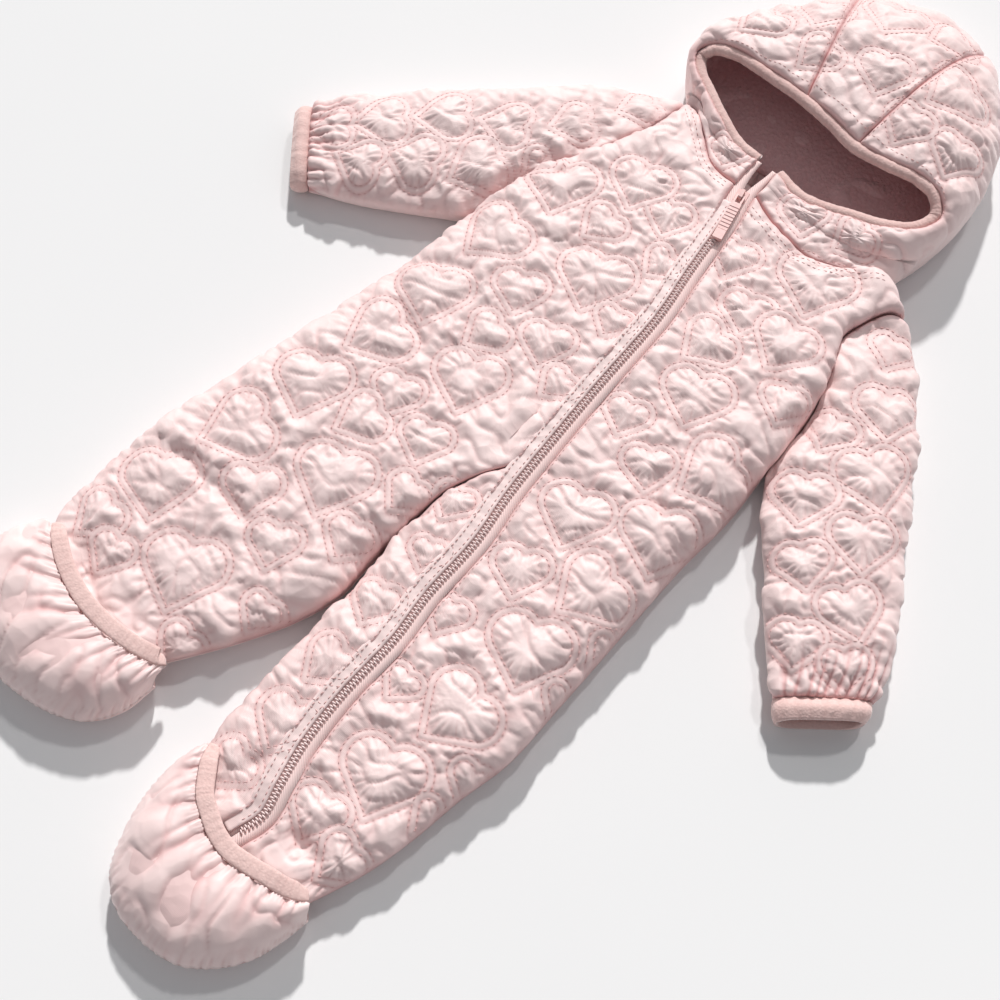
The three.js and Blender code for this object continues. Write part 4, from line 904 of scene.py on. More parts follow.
# %% Fleece and bindings
def pile_cloth(name, pale, deep, clump, bump):
    f = Finish(name, roughness=0.95, sheen=0.6, specular=0.15)
    place = f.place()
    depth = attribute(f, "depth")
    clumps = f.node("ShaderNodeTexVoronoi", {"feature": "SMOOTH_F1"}, Vector=place, Scale=clump, Smoothness=0.6)
    grain = f.node("ShaderNodeTexNoise", Vector=place, Scale=900.0, Detail=3.0)
    # painted shade: the shade attribute pulls the colour towards deep, the painted shade colour; the clumps and grain
    # are the pile's own tone
    tone = depth * 0.7 + clumps * 0.35 + (grain - 0.5) * 0.35
    f.feed("Base Color", f.colours(tone, pale, deep))
    return f.bump(clumps * -0.8 + grain * 0.6, 0.7, bump)


# the second colour of each pile cloth is its painted shade colour
fleece_material = pile_cloth("fleece", (0.97, 0.66, 0.66), (0.74, 0.38, 0.39), 330.0, 0.0014)
binding_material = pile_cloth("velour", (0.86, 0.62, 0.58), (0.62, 0.38, 0.355), 620.0, 0.0004)
print("pile cloths made")


# %% Zip, thread and slider finishes
def thread_finish():
    f = Finish("thread", roughness=0.6, sheen=0.2, specular=0.4)
    tone = f.node("ShaderNodeTexNoise", Vector=f.place(), Scale=60.0, Detail=2.0)
    # painted shade: the thread is set a darker pink than the shell to stand for the shade in its stitch holes; the
    # noise varies it at random
    f.feed("Base Color", f.colours(tone, (0.84, 0.56, 0.535), (0.62, 0.34, 0.33)))
    return f.material


def tape_finish():
    f = Finish("zip_tape", roughness=0.75, sheen=0.2, specular=0.3)
    place = f.place()
    weave = f.node("ShaderNodeTexWave", {"bands_direction": "DIAGONAL"}, output=1, Vector=place, Scale=340.0)
    f.feed("Base Color", f.colours(weave * 0.35, (0.93, 0.71, 0.685), (0.82, 0.58, 0.56)))
    return f.bump(weave, 0.5, 0.0004)


def slider_finish():
    f = Finish("slider_enamel", roughness=0.38, specular=0.5)
    wear = f.node("ShaderNodeTexNoise", Vector=f.place(), Scale=420.0, Detail=3.0)
    f.feed("Base Color", f.colours(wear, (0.84, 0.56, 0.53), (0.70, 0.40, 0.38)))
    f.feed("Roughness", 0.3 + wear * 0.2)
    return f.bump(wear, 0.15, 0.0002)


thread_material = thread_finish()
tape_material = tape_finish()
slider_material = slider_finish()


def coil_finish():
    f = Finish("nylon_coil", roughness=0.42, specular=0.5)
    tone = f.node("ShaderNodeTexNoise", Vector=f.place(), Scale=300.0, Detail=2.0)
    f.feed("Base Color", f.colours(tone, (0.97, 0.80, 0.78), (0.91, 0.70, 0.68)))
    return f.material


coil_material = coil_finish()
print("thread, tape and slider finishes made")

# %% [markdown]
# Now the panels. Each stands for the solid of the same name and rides on the garment, and its area is
# printed beside the flat size of its cut.

# %% Body panels
made = {}


def dress(obj, node, flat, share, body="garment"):
    """Puts a cloth piece in its solid's place, hides the solid and prints its area beside that of its flat cut."""
    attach(obj, body)
    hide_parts(node)
    if flat:
        width, length = flat
    made[node] = obj
    half = sum(p.area for p in obj.data.polygons) / 2
    print(f"{obj.name}: {len(obj.data.vertices)} points, {half:.4f} square metres a side, stated {width * length * share:.4f}")
    return obj


FINE_BACK = 9.0
dress(cloth("cloth_front_right", front_right, shares(520), shares(134), 1, 2.6, shell_material),
      "front_right", (0.20, 0.57), 0.74)
dress(cloth("cloth_front_left", front_left, shares(545), shares(112), 1, 2.6, shell_material),
      "front_left", (0.145, 0.58), 0.72)
dress(cloth("cloth_leg_left_inner", leg_left_inner, shares(292), shares(40), 1, 2.6, shell_material),
      "leg_left_inner", (0.065, 0.295), 0.64)
dress(cloth("cloth_back_right", back_right, shares(520, FINE_BACK / 3), shares(138, FINE_BACK / 3), -1, 2.6,
            plain_material, quilt=False), "back_right", (0.18, 0.56), 0.77)
dress(cloth("cloth_back_left", back_left, shares(545, FINE_BACK / 3), shares(138, FINE_BACK / 3), -1, 2.6,
            plain_material, quilt=False), "back_left", (0.155, 0.58), 0.9)


# %% [markdown]
# The sleeves end in bound elastic, which gathers the last few centimetres. The gathers are a wave that
# runs along the sleeve, as uneven as real ones, and only grows towards the cuff.


# %% Sleeve pieces
def gathers(count, deep, start, seed):
    def relief(S, T, base):
        near = ease((S - start) / (1 - start))
        wave = np.sin(2 * np.pi * (count * T + 0.4 * noise(T * 9, S * 3, seed)))
        height = deep * near * (np.abs(wave) - 0.6)
        # painted shade in the hollows of the gathers
        return height, np.clip(-height, 0, 1) * 0.8

    return relief


ROUND_SLEEVE = shares(230)
dress(cloth("cloth_sleeve_right", sleeve_right, shares(190), ROUND_SLEEVE, -1, 2.6, shell_material, wrap=True,
            relief=gathers(11, 2.2, 0.78, 21)), "sleeve_right", (0.34, 0.21), 0.65)
dress(cloth("cloth_sleeve_left", sleeve_left, shares(205), ROUND_SLEEVE, 1, 2.6, shell_material, wrap=True,
            relief=gathers(10, 2.2, 0.78, 22)), "sleeve_left", (0.33, 0.22), 0.63)


def ribbed(count, deep, seed):
    """A bound, elastic edge: rounded across, ribbed by its gathers."""

    def relief(S, T, base):
        roll = 1.6 * np.sin(np.pi * np.clip(S, 0, 1))
        wave = np.sin(2 * np.pi * (count * T + 0.5 * noise(T * 11, S, seed)))
        # painted shade in the hollows of the ribs and where the cuff meets the sleeve
        return roll + deep * wave, 0.22 * np.clip(-wave, 0, 1) + 0.5 * np.exp(-(S / 0.12) ** 2)

    return relief


for side, surface, facing, length in (("right", cuff_right, -1, 11), ("left", cuff_left, 1, 12)):
    piece = cloth(f"binding_cuff_{side}", surface, shares(length, 0.9), shares(150, 1.1), facing, 2.2,
                  binding_material, wrap=True, quilt=False, relief=ribbed(15, 0.16, 31))
    dress(piece, f"cuff_{side}", (0.15, 0.016), 0.95)

# %% [markdown]
# The hood's three panels meet in two seams over the crown. The fleece inside follows the same sections,
# a few millimetres deeper, and shows through the face opening, so it gets soft waves of its own.

# %% Hood pieces
hood = (hood_point, hood_edge)
FLAT_PART = np.linspace(0, 0.86, 12, endpoint=False) * RIM_SHARE
hood_over = np.linspace(0, 1, 101)
ACROSS = np.concatenate([FLAT_PART, np.linspace(0.86, 1, 8, endpoint=False) * RIM_SHARE,
                         RIM_SHARE + (1 - RIM_SHARE) * hood_over**1.15])


def hood_rows(first, last):
    return mix(first, last, shares((last - first) * 26)) / LAST


for name, first, last, flat in (
    ("hood_side_right", 0, 9, (0.17, 0.23)), ("hood_centre", 9, 11, (0.115, 0.36)),
    ("hood_side_left", 11, LAST, (0.21, 0.25)),
):
    piece = cloth(f"cloth_{name}", hood, hood_rows(first, last), ACROSS, -1, 2.6, shell_material)
    dress(piece, name, flat, 0.66)


def lining_point(u, v):
    point = hood_point(u, v)
    return point - normals(hood_point, u, v, -1, False) * 3.4


def soft_waves(S, T, base):
    wave = noise(base[..., 0] / 30, base[..., 1] / 17, 41) * 4.5 + noise(base[..., 0] / 11, base[..., 1] / 9, 42) * 1.0
    margin = np.clip(hood_edge(S, T) / 14, 0, 1)
    # painted shade: darker where the waves rise, fading out near the edges
    return np.minimum(wave, 0.5) * margin, np.clip(wave * 0.2, 0, 1) * margin


lining = cloth("fleece_hood", (lining_point, hood_edge), mix(0.012, 0.988, shares(LAST * 26, 2.2)),
               mix(0.03, 0.99, shares(330, 2.2)), -1, 1.4, fleece_material, quilt=False, relief=soft_waves)
dress(lining, "hood_lining", (0.36, 0.36), 0.6)

# %% [markdown]
# Bindings are long rolled strips. A strip is swept from a ring of points along its line; the ring can
# swell and shrink on the way, which gives the roll its small gathers.


# %% Rolled bindings
def swept(name, rings, material, shade=None):
    count, size = rings.shape[:2]
    ids = np.arange(count * size).reshape(count, size)
    following = np.roll(ids, -1, axis=1)
    quads = np.stack([ids[:-1], following[:-1], following[1:], ids[1:]], axis=-1).reshape(-1, 4).tolist()
    faces = quads + [ids[0].tolist()[::-1], ids[-1].tolist()]
    points = rings.reshape(-1, 3)
    if signed_volume(points, faces) < 0:
        faces = [face[::-1] for face in faces]
    # painted shade of the strip, none when no shade is given
    depth = np.zeros(len(points)) if shade is None else shade.ravel()
    return mesh_object(name, points, faces, {"depth": depth}, material)


def face_binding():
    u = np.linspace(0.002, 0.998, 420)
    edge_of = np.ones_like(u)
    n = normals(hood_point, u, edge_of, -1, False)
    out = hood_point(u, edge_of) - hood_point(u, edge_of - 0.005)
    slope = (out / np.linalg.norm(out, axis=-1, keepdims=True))[:, 2]
    run = face_line(np.clip(u + 0.006, 0, 1)) - face_line(np.clip(u - 0.006, 0, 1))
    run[:, 2] = 0
    run /= np.linalg.norm(run, axis=-1, keepdims=True)
    out = np.stack([run[:, 1], -run[:, 0], slope], axis=-1)
    out /= np.linalg.norm(out, axis=-1, keepdims=True)
    row = u * LAST
    corner = np.exp(-np.minimum((row - 4.8) ** 2, (row - 15.6) ** 2) / 1.5)
    middle = hood_point(u, edge_of) + out * (2.6 + mix(0.4, 2.4, corner))[:, None] - n * 2.0
    a = np.linspace(0, 2 * np.pi, 14, endpoint=False)
    wave = 0.08 * np.sin(row * 27 + 4 * noise(row * 3, row, 51)) + 0.3 * noise(row * 2.2, row * 0 + 0.5, 52)
    radius = 3.9 + wave
    ring = out[:, None] * np.cos(a)[None, :, None] * 1.12 + n[:, None] * np.sin(a)[None, :, None]
    # painted shade over the whole roll, more where it narrows
    shade = np.clip(0.25 - wave, 0, 1)[:, None] * np.ones((1, 14))
    return swept("binding_face", middle[:, None] + ring * radius[:, None, None], binding_material, shade)


dress(face_binding(), "hood_binding", (0.46, 0.014), 0.92)

# %% [markdown]
# The booties are plain shell cloth, gathered under a velour binding that stands a little off the leg.
# Deep creases run from the binding to the toe, each with its own place, width and depth.

# %% Booties
# bind x, y, z, rim x, y
FEET = {
    "right": [
        [-159, -290, 25, -171, -292], [-150, -297, 29, -180, -310], [-136, -305, 31, -183, -328],
        [-120, -311, 32, -174, -348], [-103, -315, 32, -152, -366], [-86, -316, 32, -122, -376],
        [-70, -315, 32, -92, -375], [-58, -313, 31, -66, -368], [-47, -310, 30, -49, -357],
        [-40, -307, 28, -39, -338], [-37, -303, 24, -37, -316],
    ],
    "left": [
        [17, -317, 24, 10, -324], [21, -327, 28, 8, -342], [28, -336, 30, 9, -362], [37, -345, 32, 16, -386],
        [48, -351, 32, 28, -408], [60, -356, 32, 46, -419], [74, -358, 32, 70, -421], [88, -356, 32, 94, -416],
        [101, -353, 32, 112, -402], [113, -350, 30, 124, -384], [121, -346, 28, 129, -365],
        [126, -341, 24, 131, -349],
    ],
}
# flat sizes of the upper and the sole, in metres
FOOT_CUTS = {"right": [(0.2, 0.095), (0.145, 0.088)], "left": [(0.17, 0.1), (0.12, 0.1)]}
SOLE_BACK = {
    "right": [[-160.5, -289], [-156, -297], [-150, -305.5], [-122, -309], [-78, -314], [-51, -317.3],
              [-48, -314.5], [-46.5, -311.5]],
    "left": [[15.5, -321], [19.5, -332], [25, -343.5], [52, -345.8], [92, -349], [120, -351.5],
             [123, -348.5], [124, -344]],
}
# place along the binding, width, depth, drift of the crease towards the toe
CREASES = [
    [0.08, 0.012, 1.6, 0.03], [0.14, 0.02, 2.2, -0.02], [0.21, 0.014, 1.6, 0.04], [0.29, 0.02, 2.6, -0.05],
    [0.36, 0.013, 1.8, 0.03], [0.43, 0.02, 3.0, -0.03], [0.5, 0.015, 2.0, 0.05], [0.565, 0.022, 3.2, -0.04],
    [0.63, 0.014, 1.9, 0.02], [0.7, 0.02, 2.6, 0.05], [0.77, 0.015, 1.9, -0.03], [0.85, 0.02, 2.2, 0.02],
    [0.92, 0.012, 1.6, -0.02],
]


def bootie(side):
    rows = FEET[side]
    bind = line([row[:3] for row in rows], by_row=True)
    rim = line([row[3:] for row in rows], by_row=True)
    heel = line(SOLE_BACK[side])

    def upper(u, v):
        a, b = bind(u), rim(u)
        long = np.hypot(b[..., 0] - a[..., 0], b[..., 1] - a[..., 1])
        high = a[..., 2] + 0.28 * long * v * (1 - v)
        fall = 1 - quarter((1 - v) * long / np.minimum(0.8 * long, 34))
        p = mix(a, b, v[..., None])
        p[..., 2] = mix(high, SEAM_TOP, fall)
        return p

    def sole(u, v):
        a = rim(u)
        b = heel(u)
        long = np.hypot(b[..., 0] - a[..., 0], b[..., 1] - a[..., 1])
        p = mix(a, b, v[..., None])
        p[..., 2] = SEAM_UNDER * (1 - quarter(v * long / np.minimum(long, UNDER_ROUND)))
        return p

    return bind, upper, sole


def creases(seed):
    def relief(S, T, base):
        height = np.zeros_like(S)
        for at, wide, deep, drift in CREASES:
            middle = at + drift * T + 0.008 * noise(T * 4 + at * 40, S * 0, seed)
            away = (S - middle) / (wide * (0.55 + 1.6 * T))
            height -= deep * np.exp(-np.abs(away) ** 1.5) * (1 - ease(T / (0.55 + 0.4 * deep / 3)))
        small = np.abs(np.sin(np.pi * (58 * S + 1.6 * noise(S * 14, T * 2, seed + 1))))
        hem = (small - 0.6) * 1.5 * (1 - ease(T / 0.22))
        toe = (np.abs(np.sin(np.pi * (64 * S + 2 * noise(S * 18, T, seed + 2)))) - 0.6) * 1.1 * ease((T - 0.78) / 0.2)
        wide_wave = noise(base[..., 0] / 20, base[..., 1] / 24, seed + 3) * 2.6 * np.sin(np.pi * T)
        crisp = 1 - np.abs(noise(base[..., 0] / 17 + base[..., 1] / 40, base[..., 1] / 30, seed + 4)) * 3
        crisp = np.maximum(crisp, 0) ** 2 * np.sin(np.pi * np.clip(T, 0, 1))
        lift = height + hem + toe + wide_wave + 1.3 * ease(T / 0.2) * (1 - ease((T - 0.2) / 0.5)) - 1.9 * crisp
        # painted shade in the creases, in the small gathers at the hem and the toe, and on the crisp folds
        shade = np.clip(-height * 0.28, 0, 1) + np.clip(-hem * 0.5, 0, 1) + np.clip(-toe * 0.5, 0, 1) + 0.35 * crisp
        return lift, shade

    return relief


def no_edge(u, v):
    return np.full_like(u, 20.0)


for side in ("right", "left"):
    bind, upper, sole = bootie(side)
    piece = cloth(f"cloth_foot_upper_{side}", (upper, no_edge), shares(190), shares(70), -1, 1.6, plain_material,
                  quilt=False, relief=creases(61 if side == "right" else 71))
    dress(piece, f"foot_upper_{side}", FOOT_CUTS[side][0], 0.66)
    piece = cloth(f"cloth_foot_sole_{side}", (sole, no_edge), shares(190, 3), shares(60, 3), -1, 1.6,
                  plain_material, quilt=False)
    dress(piece, f"foot_sole_{side}", FOOT_CUTS[side][1], 0.77)
    u = np.linspace(0, 1, 150)
    at, run = bind(u), bind(np.clip(u + 0.01, 0, 1)) - bind(np.clip(u - 0.01, 0, 1))
    run[:, 2] = 0
    run /= np.linalg.norm(run, axis=-1, keepdims=True)
    to_leg = np.stack([-run[:, 1], run[:, 0], 0 * u], axis=-1)
    wide = 10.8 * mix(0.45, 1, quarter(np.minimum(u, 1 - u) / 0.16))
    a = np.linspace(0, 2 * np.pi, 18, endpoint=False)
    across = 0.5 - 0.5 * np.sign(np.cos(a)) * np.abs(np.cos(a)) ** 0.7
    tall = np.sign(np.sin(a)) * np.abs(np.sin(a)) ** 0.6 * 1.5
    wave = 0.12 * np.sin(u * 150 + 5 * noise(u * 20, u * 0, 81)) + 0.3 * noise(u * 9, u * 0 + 0.4, 82)
    rings = at[:, None] + to_leg[:, None] * (across[None, :] * wide[:, None] + 0.2)[..., None]
    rings[..., 2] += tall[None, :] + wave[:, None] - 0.1
    # painted shade where the roll dips
    piece = swept(f"binding_foot_{side}", rings, binding_material, np.clip(-wave, 0, 1)[:, None] + 0 * rings[..., 0])
    dress(piece, f"foot_binding_{side}", (0.13, 0.014), 0.9)

# %% [markdown]
# The zip: two woven tapes, a flap of shell cloth along its right side and a coil of many small loops.
# The coil's loops repeat along a path, so Geometry Nodes sets one small loop on each point of it.


# %% Zip tapes and flap
def zip_level(x, y):
    return np.where(y > 196, mix(crown(x, np.full_like(y, 196.0)), 36, (y - 196) / 28), crown(x, y))


def zip_sides(q):
    at = PLAN["zip"](q)
    run = PLAN["zip"](np.clip(q + 0.01, 0, 1)) - PLAN["zip"](np.clip(q - 0.01, 0, 1))
    run[:, 2] = 0
    run /= np.linalg.norm(run, axis=-1, keepdims=True)
    return at, run, np.stack([-run[:, 1], run[:, 0], 0 * q], axis=-1)


def zip_share(y):
    return share_at_y(PLAN["zip"], y)


ZIP_TOP, ZIP_END = zip_share(221), zip_share(-348)


def opened(q):
    return 4.4 * (1 - ease((q - ZIP_TOP) / (zip_share(184) - ZIP_TOP)))


def zip_strip(name, first, last, section, material, steps=420, ripple=0.0):
    q = np.linspace(first, last, steps)
    at, run, side = zip_sides(q)
    columns = np.array([section(share) for share in q])
    rings = at[:, None] + side[:, None] * columns[..., :1]
    rings[..., 2] = zip_level(rings[..., 0], rings[..., 1]) + columns[..., 1]
    if ripple:
        wave = noise(q * 60, q * 0 + 0.3, 91) * ripple + noise(q * 140, q * 0 + 0.7, 92) * ripple * 0.6
        rings[..., 2] += wave[:, None]
    return swept(name, rings, material)


def flap_section(q):
    top = [[-12.2, 1.9], [-10.6, 2.4], [-9.2, 1.5], [-6.5, 2.5], [-4.4, 1.8], [-3.1, 2.5], [-2.5, 1.6]]
    return [[-2.6, 0.6], [-12.2, 0.6]] + top


dress(zip_strip("tape_right", ZIP_TOP, ZIP_END, lambda q: [
    [-8.3, -0.9], [-0.2 - opened(q), -0.9], [-0.2 - opened(q), 0.1], [-8.3, 0.1]], tape_material),
    "zip_tape_right", (0.0105, 0.58), 0.86)
dress(zip_strip("tape_left", ZIP_TOP, ZIP_END, lambda q: [
    [0.2 + opened(q), -0.9], [8.3, -0.9], [8.3, 0.1], [0.2 + opened(q), 0.1]], tape_material),
    "zip_tape_left", (0.0105, 0.58), 0.86)
dress(zip_strip("cloth_zip_flap", zip_share(181), zip_share(-346), flap_section, plain_material, ripple=0.5),
      "zip_flap", (0.013, 0.535), 0.93)


# %% Loops on points with Geometry Nodes
def socket_id(tree, name):
    return next(item.identifier for item in tree.interface.items_tree if item.name == name)


def set_on_points(name, material, shape, size):
    """A tree that sets one small shape on each point, turned by its run and up attributes."""
    tree = bpy.data.node_groups.new(name, "GeometryNodeTree")
    tree.interface.new_socket("Geometry", in_out="INPUT", socket_type="NodeSocketGeometry")
    tree.interface.new_socket("Geometry", in_out="OUTPUT", socket_type="NodeSocketGeometry")
    size_input = tree.interface.new_socket("Size", in_out="INPUT", socket_type="NodeSocketVector")
    size_input.default_value = size
    new, link = tree.nodes.new, tree.links.new
    start, end = new("NodeGroupInput"), new("NodeGroupOutput")
    to_points = new("GeometryNodeMeshToPoints")
    link(start.outputs["Geometry"], to_points.inputs["Mesh"])
    run = new("GeometryNodeInputNamedAttribute")
    up = new("GeometryNodeInputNamedAttribute")
    for node, key in ((run, "run"), (up, "up")):
        node.data_type = "FLOAT_VECTOR"
        node.inputs["Name"].default_value = key
    turn = new("FunctionNodeAlignRotationToVector")
    turn.axis = "X"
    link(run.outputs["Attribute"], turn.inputs["Vector"])
    lean = new("FunctionNodeAlignRotationToVector")
    lean.axis = "Z"
    lean.pivot_axis = "X"
    link(turn.outputs["Rotation"], lean.inputs["Rotation"])
    link(up.outputs["Attribute"], lean.inputs["Vector"])
    if shape == "bead":
        body = new("GeometryNodeMeshIcoSphere")
        body.inputs["Subdivisions"].default_value = 1
        body.inputs["Radius"].default_value = 0.5
    else:
        body = new("GeometryNodeMeshUVSphere")
        body.inputs["Segments"].default_value = 8
        body.inputs["Rings"].default_value = 5
        body.inputs["Radius"].default_value = 0.5
    scale = new("GeometryNodeTransform")
    link(body.outputs["Mesh"], scale.inputs["Geometry"])
    link(start.outputs["Size"], scale.inputs["Scale"])
    instances = new("GeometryNodeInstanceOnPoints")
    link(to_points.outputs["Points"], instances.inputs["Points"])
    link(scale.outputs["Geometry"], instances.inputs["Instance"])
    link(lean.outputs["Rotation"], instances.inputs["Rotation"])
    realize = new("GeometryNodeRealizeInstances")
    link(instances.outputs["Instances"], realize.inputs["Geometry"])
    smooth = new("GeometryNodeSetShadeSmooth")
    link(realize.outputs["Geometry"], smooth.inputs["Geometry"])
    finish = new("GeometryNodeSetMaterial")
    finish.inputs["Material"].default_value = material
    link(smooth.outputs["Geometry"], finish.inputs["Geometry"])
    link(finish.outputs["Geometry"], end.inputs["Geometry"])
    return tree


def realized(name, places, runs, ups, tree, size):
    """Points with directions, run through the tree and kept as a plain mesh."""
    mesh = bpy.data.meshes.new(name + "_points")
    mesh.from_pydata(((places + SHIFT) / 1000).tolist(), [], [])
    for key, values in (("run", runs), ("up", ups)):
        mesh.attributes.new(key, "FLOAT_VECTOR", "POINT").data.foreach_set("vector", values.astype(np.float32).ravel())
    holder = bpy.data.objects.new(name + "_points", mesh)
    bpy.context.scene.collection.objects.link(holder)
    modifier = holder.modifiers.new("nodes", "NODES")
    modifier.node_group = tree
    modifier[socket_id(tree, "Size")] = [v / 1000 for v in size]
    graph = bpy.context.evaluated_depsgraph_get()
    result = bpy.data.meshes.new_from_object(holder.evaluated_get(graph))
    bpy.data.objects.remove(holder)
    obj = bpy.data.objects.new(name, result)
    result.name = name
    bpy.context.scene.collection.objects.link(obj)
    print(name, len(places), "pieces,", len(result.polygons), "faces")
    return obj


# %% Coil of the zip
def coil():
    first, last = zip_share(183), zip_share(-340)
    fine = np.linspace(first, last, 3000)
    along = PLAN["zip"](fine)
    length = np.concatenate([[0], np.cumsum(np.hypot(*np.diff(along[:, :2], axis=0).T))])
    count = int(length[-1] / 1.25)
    q = np.interp(np.linspace(0, length[-1], count), length, fine)
    at, run, side = zip_sides(q)
    sign = np.where(np.arange(count) % 2 == 0, 1.0, -1.0)
    places = at + side * (sign * 0.9)[:, None]
    places[:, 2] = zip_level(places[:, 0], places[:, 1]) + 0.7
    lean = side + run * 0.12 * sign[:, None]
    return realized("coil_loops", places, lean, np.tile([0, 0, 1.0], (count, 1)), loops_tree, (3.5, 1.3, 1.9))


loops_tree = set_on_points("zip_loops", coil_material, "loop", (0.0034, 0.00135, 0.0017))
coil_piece = coil()
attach(coil_piece, "garment")
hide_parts("zip_coil")

# %% [markdown]
# Stitches come last, because they lie on the finished cloth. Each outline is walked in two rows; a
# stitch stays only where its row really is a row's distance from its heart and no later heart covers it.
# A ray from above finds its place and lean on the cloth.

# %% Stitches
STITCH, PITCH = 2.7, 3.9


def heart_outline(heart, offset, step):
    """Points and runs along a heart's outline, moved out by an offset."""
    scale = heart[2] / 1.207
    tip_to_lobe = np.linspace(0, 1, 60)[:, None] * np.array([[0.5, 0.5]])
    a = np.radians(np.linspace(-45, 135, 90))[:, None]
    lobe = np.array([[0.25, 0.75]]) + math.sqrt(2) / 4 * np.hstack([np.cos(a), np.sin(a)])
    half = np.vstack([tip_to_lobe, lobe[1:]])
    out = np.vstack([np.tile([[0.7071, -0.7071]], (60, 1)), np.hstack([np.cos(a), np.sin(a)])[1:]])
    half = half * scale + out * offset
    whole = np.vstack([half, (half * [-1, 1])[::-1]])
    whole[:, 1] -= 0.58 * scale
    turn = math.radians(heart[3])
    c, s = math.cos(turn), math.sin(turn)
    whole = np.stack([whole[:, 0] * c - whole[:, 1] * s + heart[0], whole[:, 0] * s + whole[:, 1] * c + heart[1]], -1)
    return walk(whole, step)


def walk(points, step):
    """Even steps along a line on the plan, with its run at each."""
    length = np.concatenate([[0], np.cumsum(np.hypot(*np.diff(points, axis=0).T))])
    at = np.arange(step / 2, length[-1], step)
    place = np.stack([np.interp(at, length, points[:, k]) for k in (0, 1)], -1)
    ahead = np.stack([np.interp(at + 0.4, length, points[:, k]) for k in (0, 1)], -1)
    behind = np.stack([np.interp(at - 0.4, length, points[:, k]) for k in (0, 1)], -1)
    run = ahead - behind
    return place, run / np.maximum(np.linalg.norm(run, axis=1, keepdims=True), 1e-9)


def quilt_stitches():
    places, runs = [], []
    for number, heart in enumerate(HEARTS):
        for offset in (-ROW_HALF, ROW_HALF):
            place, run = heart_outline(heart, offset, PITCH)
            keep = np.abs(heart_distance(place[:, 0], place[:, 1], heart) - offset) < 0.3
            for later in HEARTS[number + 1:]:
                if math.hypot(later[0] - heart[0], later[1] - heart[1]) < 0.8 * (later[2] + heart[2]):
                    keep &= heart_distance(place[:, 0], place[:, 1], later) > ROW_HALF + 0.6
            places.append(place[keep])
            runs.append(run[keep])
    return np.vstack(places), np.vstack(runs)


def seam_stitches():
    """Topstitching: the neck seam, the hood's two seams and both edges of the zip."""
    q = np.linspace(0, 1, 200)
    seams = []
    for offset in (-2.0, -6.0):
        seams.append(beside(line([[12, 190], [35, 184], [65, 180], [88, 189], [104, 201], [116, 208]]), offset)(q))
        seams.append(beside(line([[-70, 228], [-48, 210], [-28, 195], [-8, 192]]), offset)(q))
    for row in (9, 11):
        for side in (-0.075, 0.075):
            v = np.linspace(RIM_SHARE + 0.03, 0.985, 200)
            seams.append(hood_point(np.full_like(v, (row + side) / LAST), v))
    q = np.linspace(zip_share(178), zip_share(-336), 900)
    for offset in (-10.0, -4.8, 10.2):
        seams.append(beside(PLAN["zip"], offset)(q))
    u = np.linspace(0.01, 0.99, 900)
    for v in (0.965,):
        seams.append(hood_point(u, np.full_like(u, v)))
    found = [walk(seam[:, :2], PITCH) for seam in seams]
    return np.vstack([f[0] for f in found]), np.vstack([f[1] for f in found])


def land(places, runs, pieces):
    """Drops each stitch from above onto the cloth."""
    trees = []
    for obj in pieces:
        trees.append(BVHTree.FromPolygons([v.co for v in obj.data.vertices], [p.vertices for p in obj.data.polygons]))
    found = []
    for (x, y), (rx, ry) in zip(places, runs):
        start = Vector(((x + SHIFT[0]) / 1000, (y + SHIFT[1]) / 1000, 0.2))
        hits = [tree.ray_cast(start, Vector((0, 0, -1))) for tree in trees]
        hits = [hit for hit in hits if hit[0]]
        if not hits:
            continue
        spot, normal = max(hits, key=lambda hit: hit[0].z)[:2]
        if normal.z < 0.25:
            continue
        run = Vector((rx, ry, 0))
        run = (run - normal * run.dot(normal)).normalized()
        found.append([*(np.array(spot) * 1000 - SHIFT), *run, *normal])
    found = np.array(found)
    return found[:, :3], found[:, 3:6], found[:, 6:]


CARRIERS = [made[n] for n in ("front_right", "front_left", "leg_left_inner", "sleeve_right", "sleeve_left",
                              "hood_side_right", "hood_centre", "hood_side_left", "zip_flap")]
quilt_places, quilt_runs = quilt_stitches()
seam_places, seam_runs = seam_stitches()
spots, runs, ups = land(np.vstack([quilt_places, seam_places]), np.vstack([quilt_runs, seam_runs]), CARRIERS)
spots += ups * 0.05
stitches_tree = set_on_points("stitches", thread_material, "bead", (0.0027, 0.0006, 0.0005))
stitches = realized("stitches", spots, runs, ups, stitches_tree, (STITCH, 0.75, 0.6))
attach(stitches, "garment")

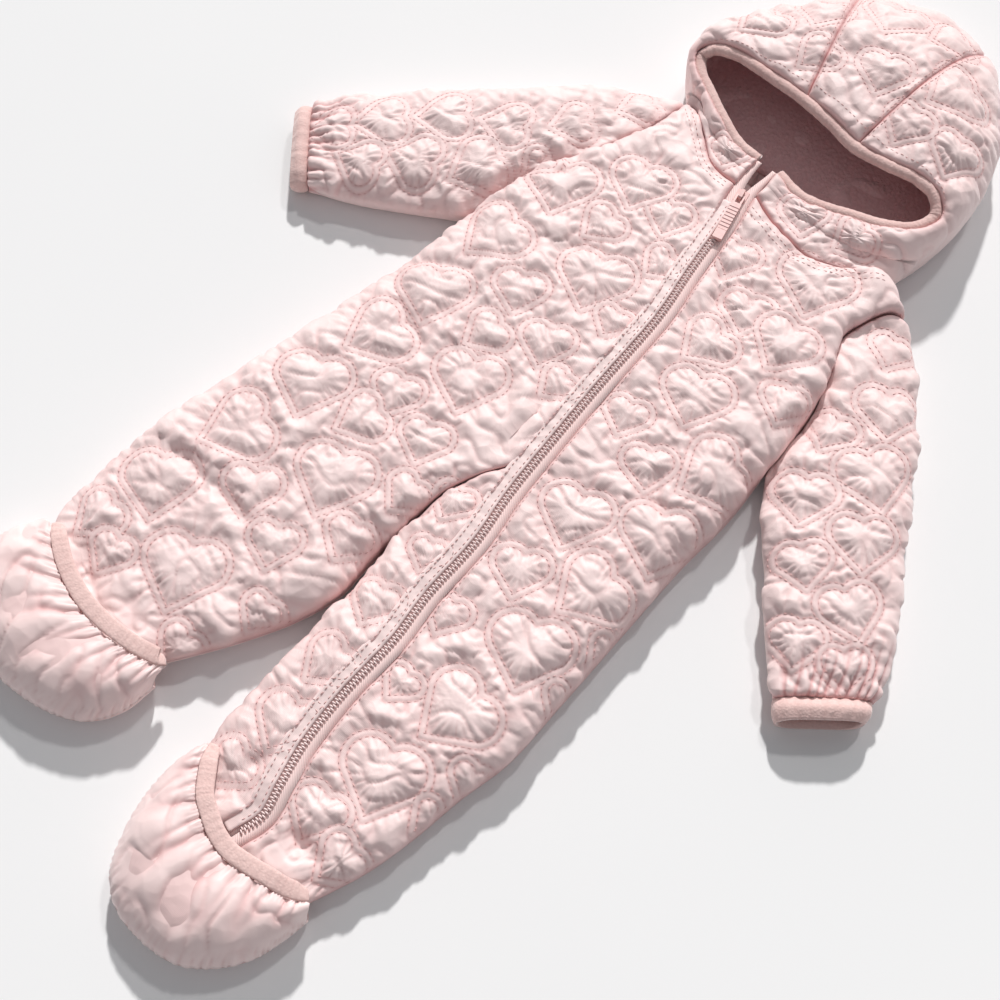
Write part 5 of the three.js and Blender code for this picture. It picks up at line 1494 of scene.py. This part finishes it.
# %% [markdown]
# The slider and its pull are hard pieces whose solids already have the right form, so they stay and get
# a worn enamel finish.

# %% Slider and pull
for name in ("zip_slider", "zip_pull"):
    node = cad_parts[name]
    node.data.materials.clear()
    node.data.materials.append(slider_material)

# %% [markdown]
# The suit lies on a plain white floor. One strong, slightly soft light stands behind it to the left, as
# in a room with one window, and a wide pale sky fills the shadows.

# %% Floor and light
floor_mesh = bpy.data.meshes.new("floor")
reach = 3.0
floor_mesh.from_pydata([(-reach, -reach, -0.0004), (reach, -reach, -0.0004), (reach, reach, -0.0004),
                        (-reach, reach, -0.0004)], [], [(0, 1, 2, 3)])
floor = bpy.data.objects.new("floor", floor_mesh)
bpy.context.scene.collection.objects.link(floor)
floor_finish = Finish("floor", roughness=0.8, specular=0.2)
grain = floor_finish.node("ShaderNodeTexNoise", Vector=floor_finish.place(), Scale=3.0, Detail=2.0)
floor_finish.feed("Base Color", floor_finish.colours(grain, (0.86, 0.86, 0.865), (0.9, 0.9, 0.9)))
floor_mesh.materials.append(floor_finish.material)


def sun(name, azimuth, elevation, strength, spread, colour):
    """A sun that shines from an azimuth on the plan, 0 from +X and 90 from +Y."""
    lamp = bpy.data.objects.new(name, bpy.data.lights.new(name, "SUN"))
    lamp.data.energy = strength
    lamp.data.angle = math.radians(spread)
    lamp.data.color = colour
    a, e = math.radians(azimuth), math.radians(elevation)
    source = Vector((math.cos(a) * math.cos(e), math.sin(a) * math.cos(e), math.sin(e)))
    lamp.rotation_mode = "QUATERNION"
    lamp.rotation_quaternion = source.to_track_quat("Z", "Y")
    bpy.context.scene.collection.objects.link(lamp)


sun("key", 126, 35, 3.15, 3, (1.0, 0.985, 0.97))
sun("second", 100, 50, 0.55, 5, (1.0, 0.99, 0.98))
world = bpy.data.worlds.new("sky")
world.use_nodes = True
world.node_tree.nodes["Background"].inputs["Color"].default_value = (0.95, 0.965, 1.0, 1)
world.node_tree.nodes["Background"].inputs["Strength"].default_value = 0.31
bpy.context.scene.world = world
bpy.context.scene.view_settings.view_transform = "Standard"
print("lit")
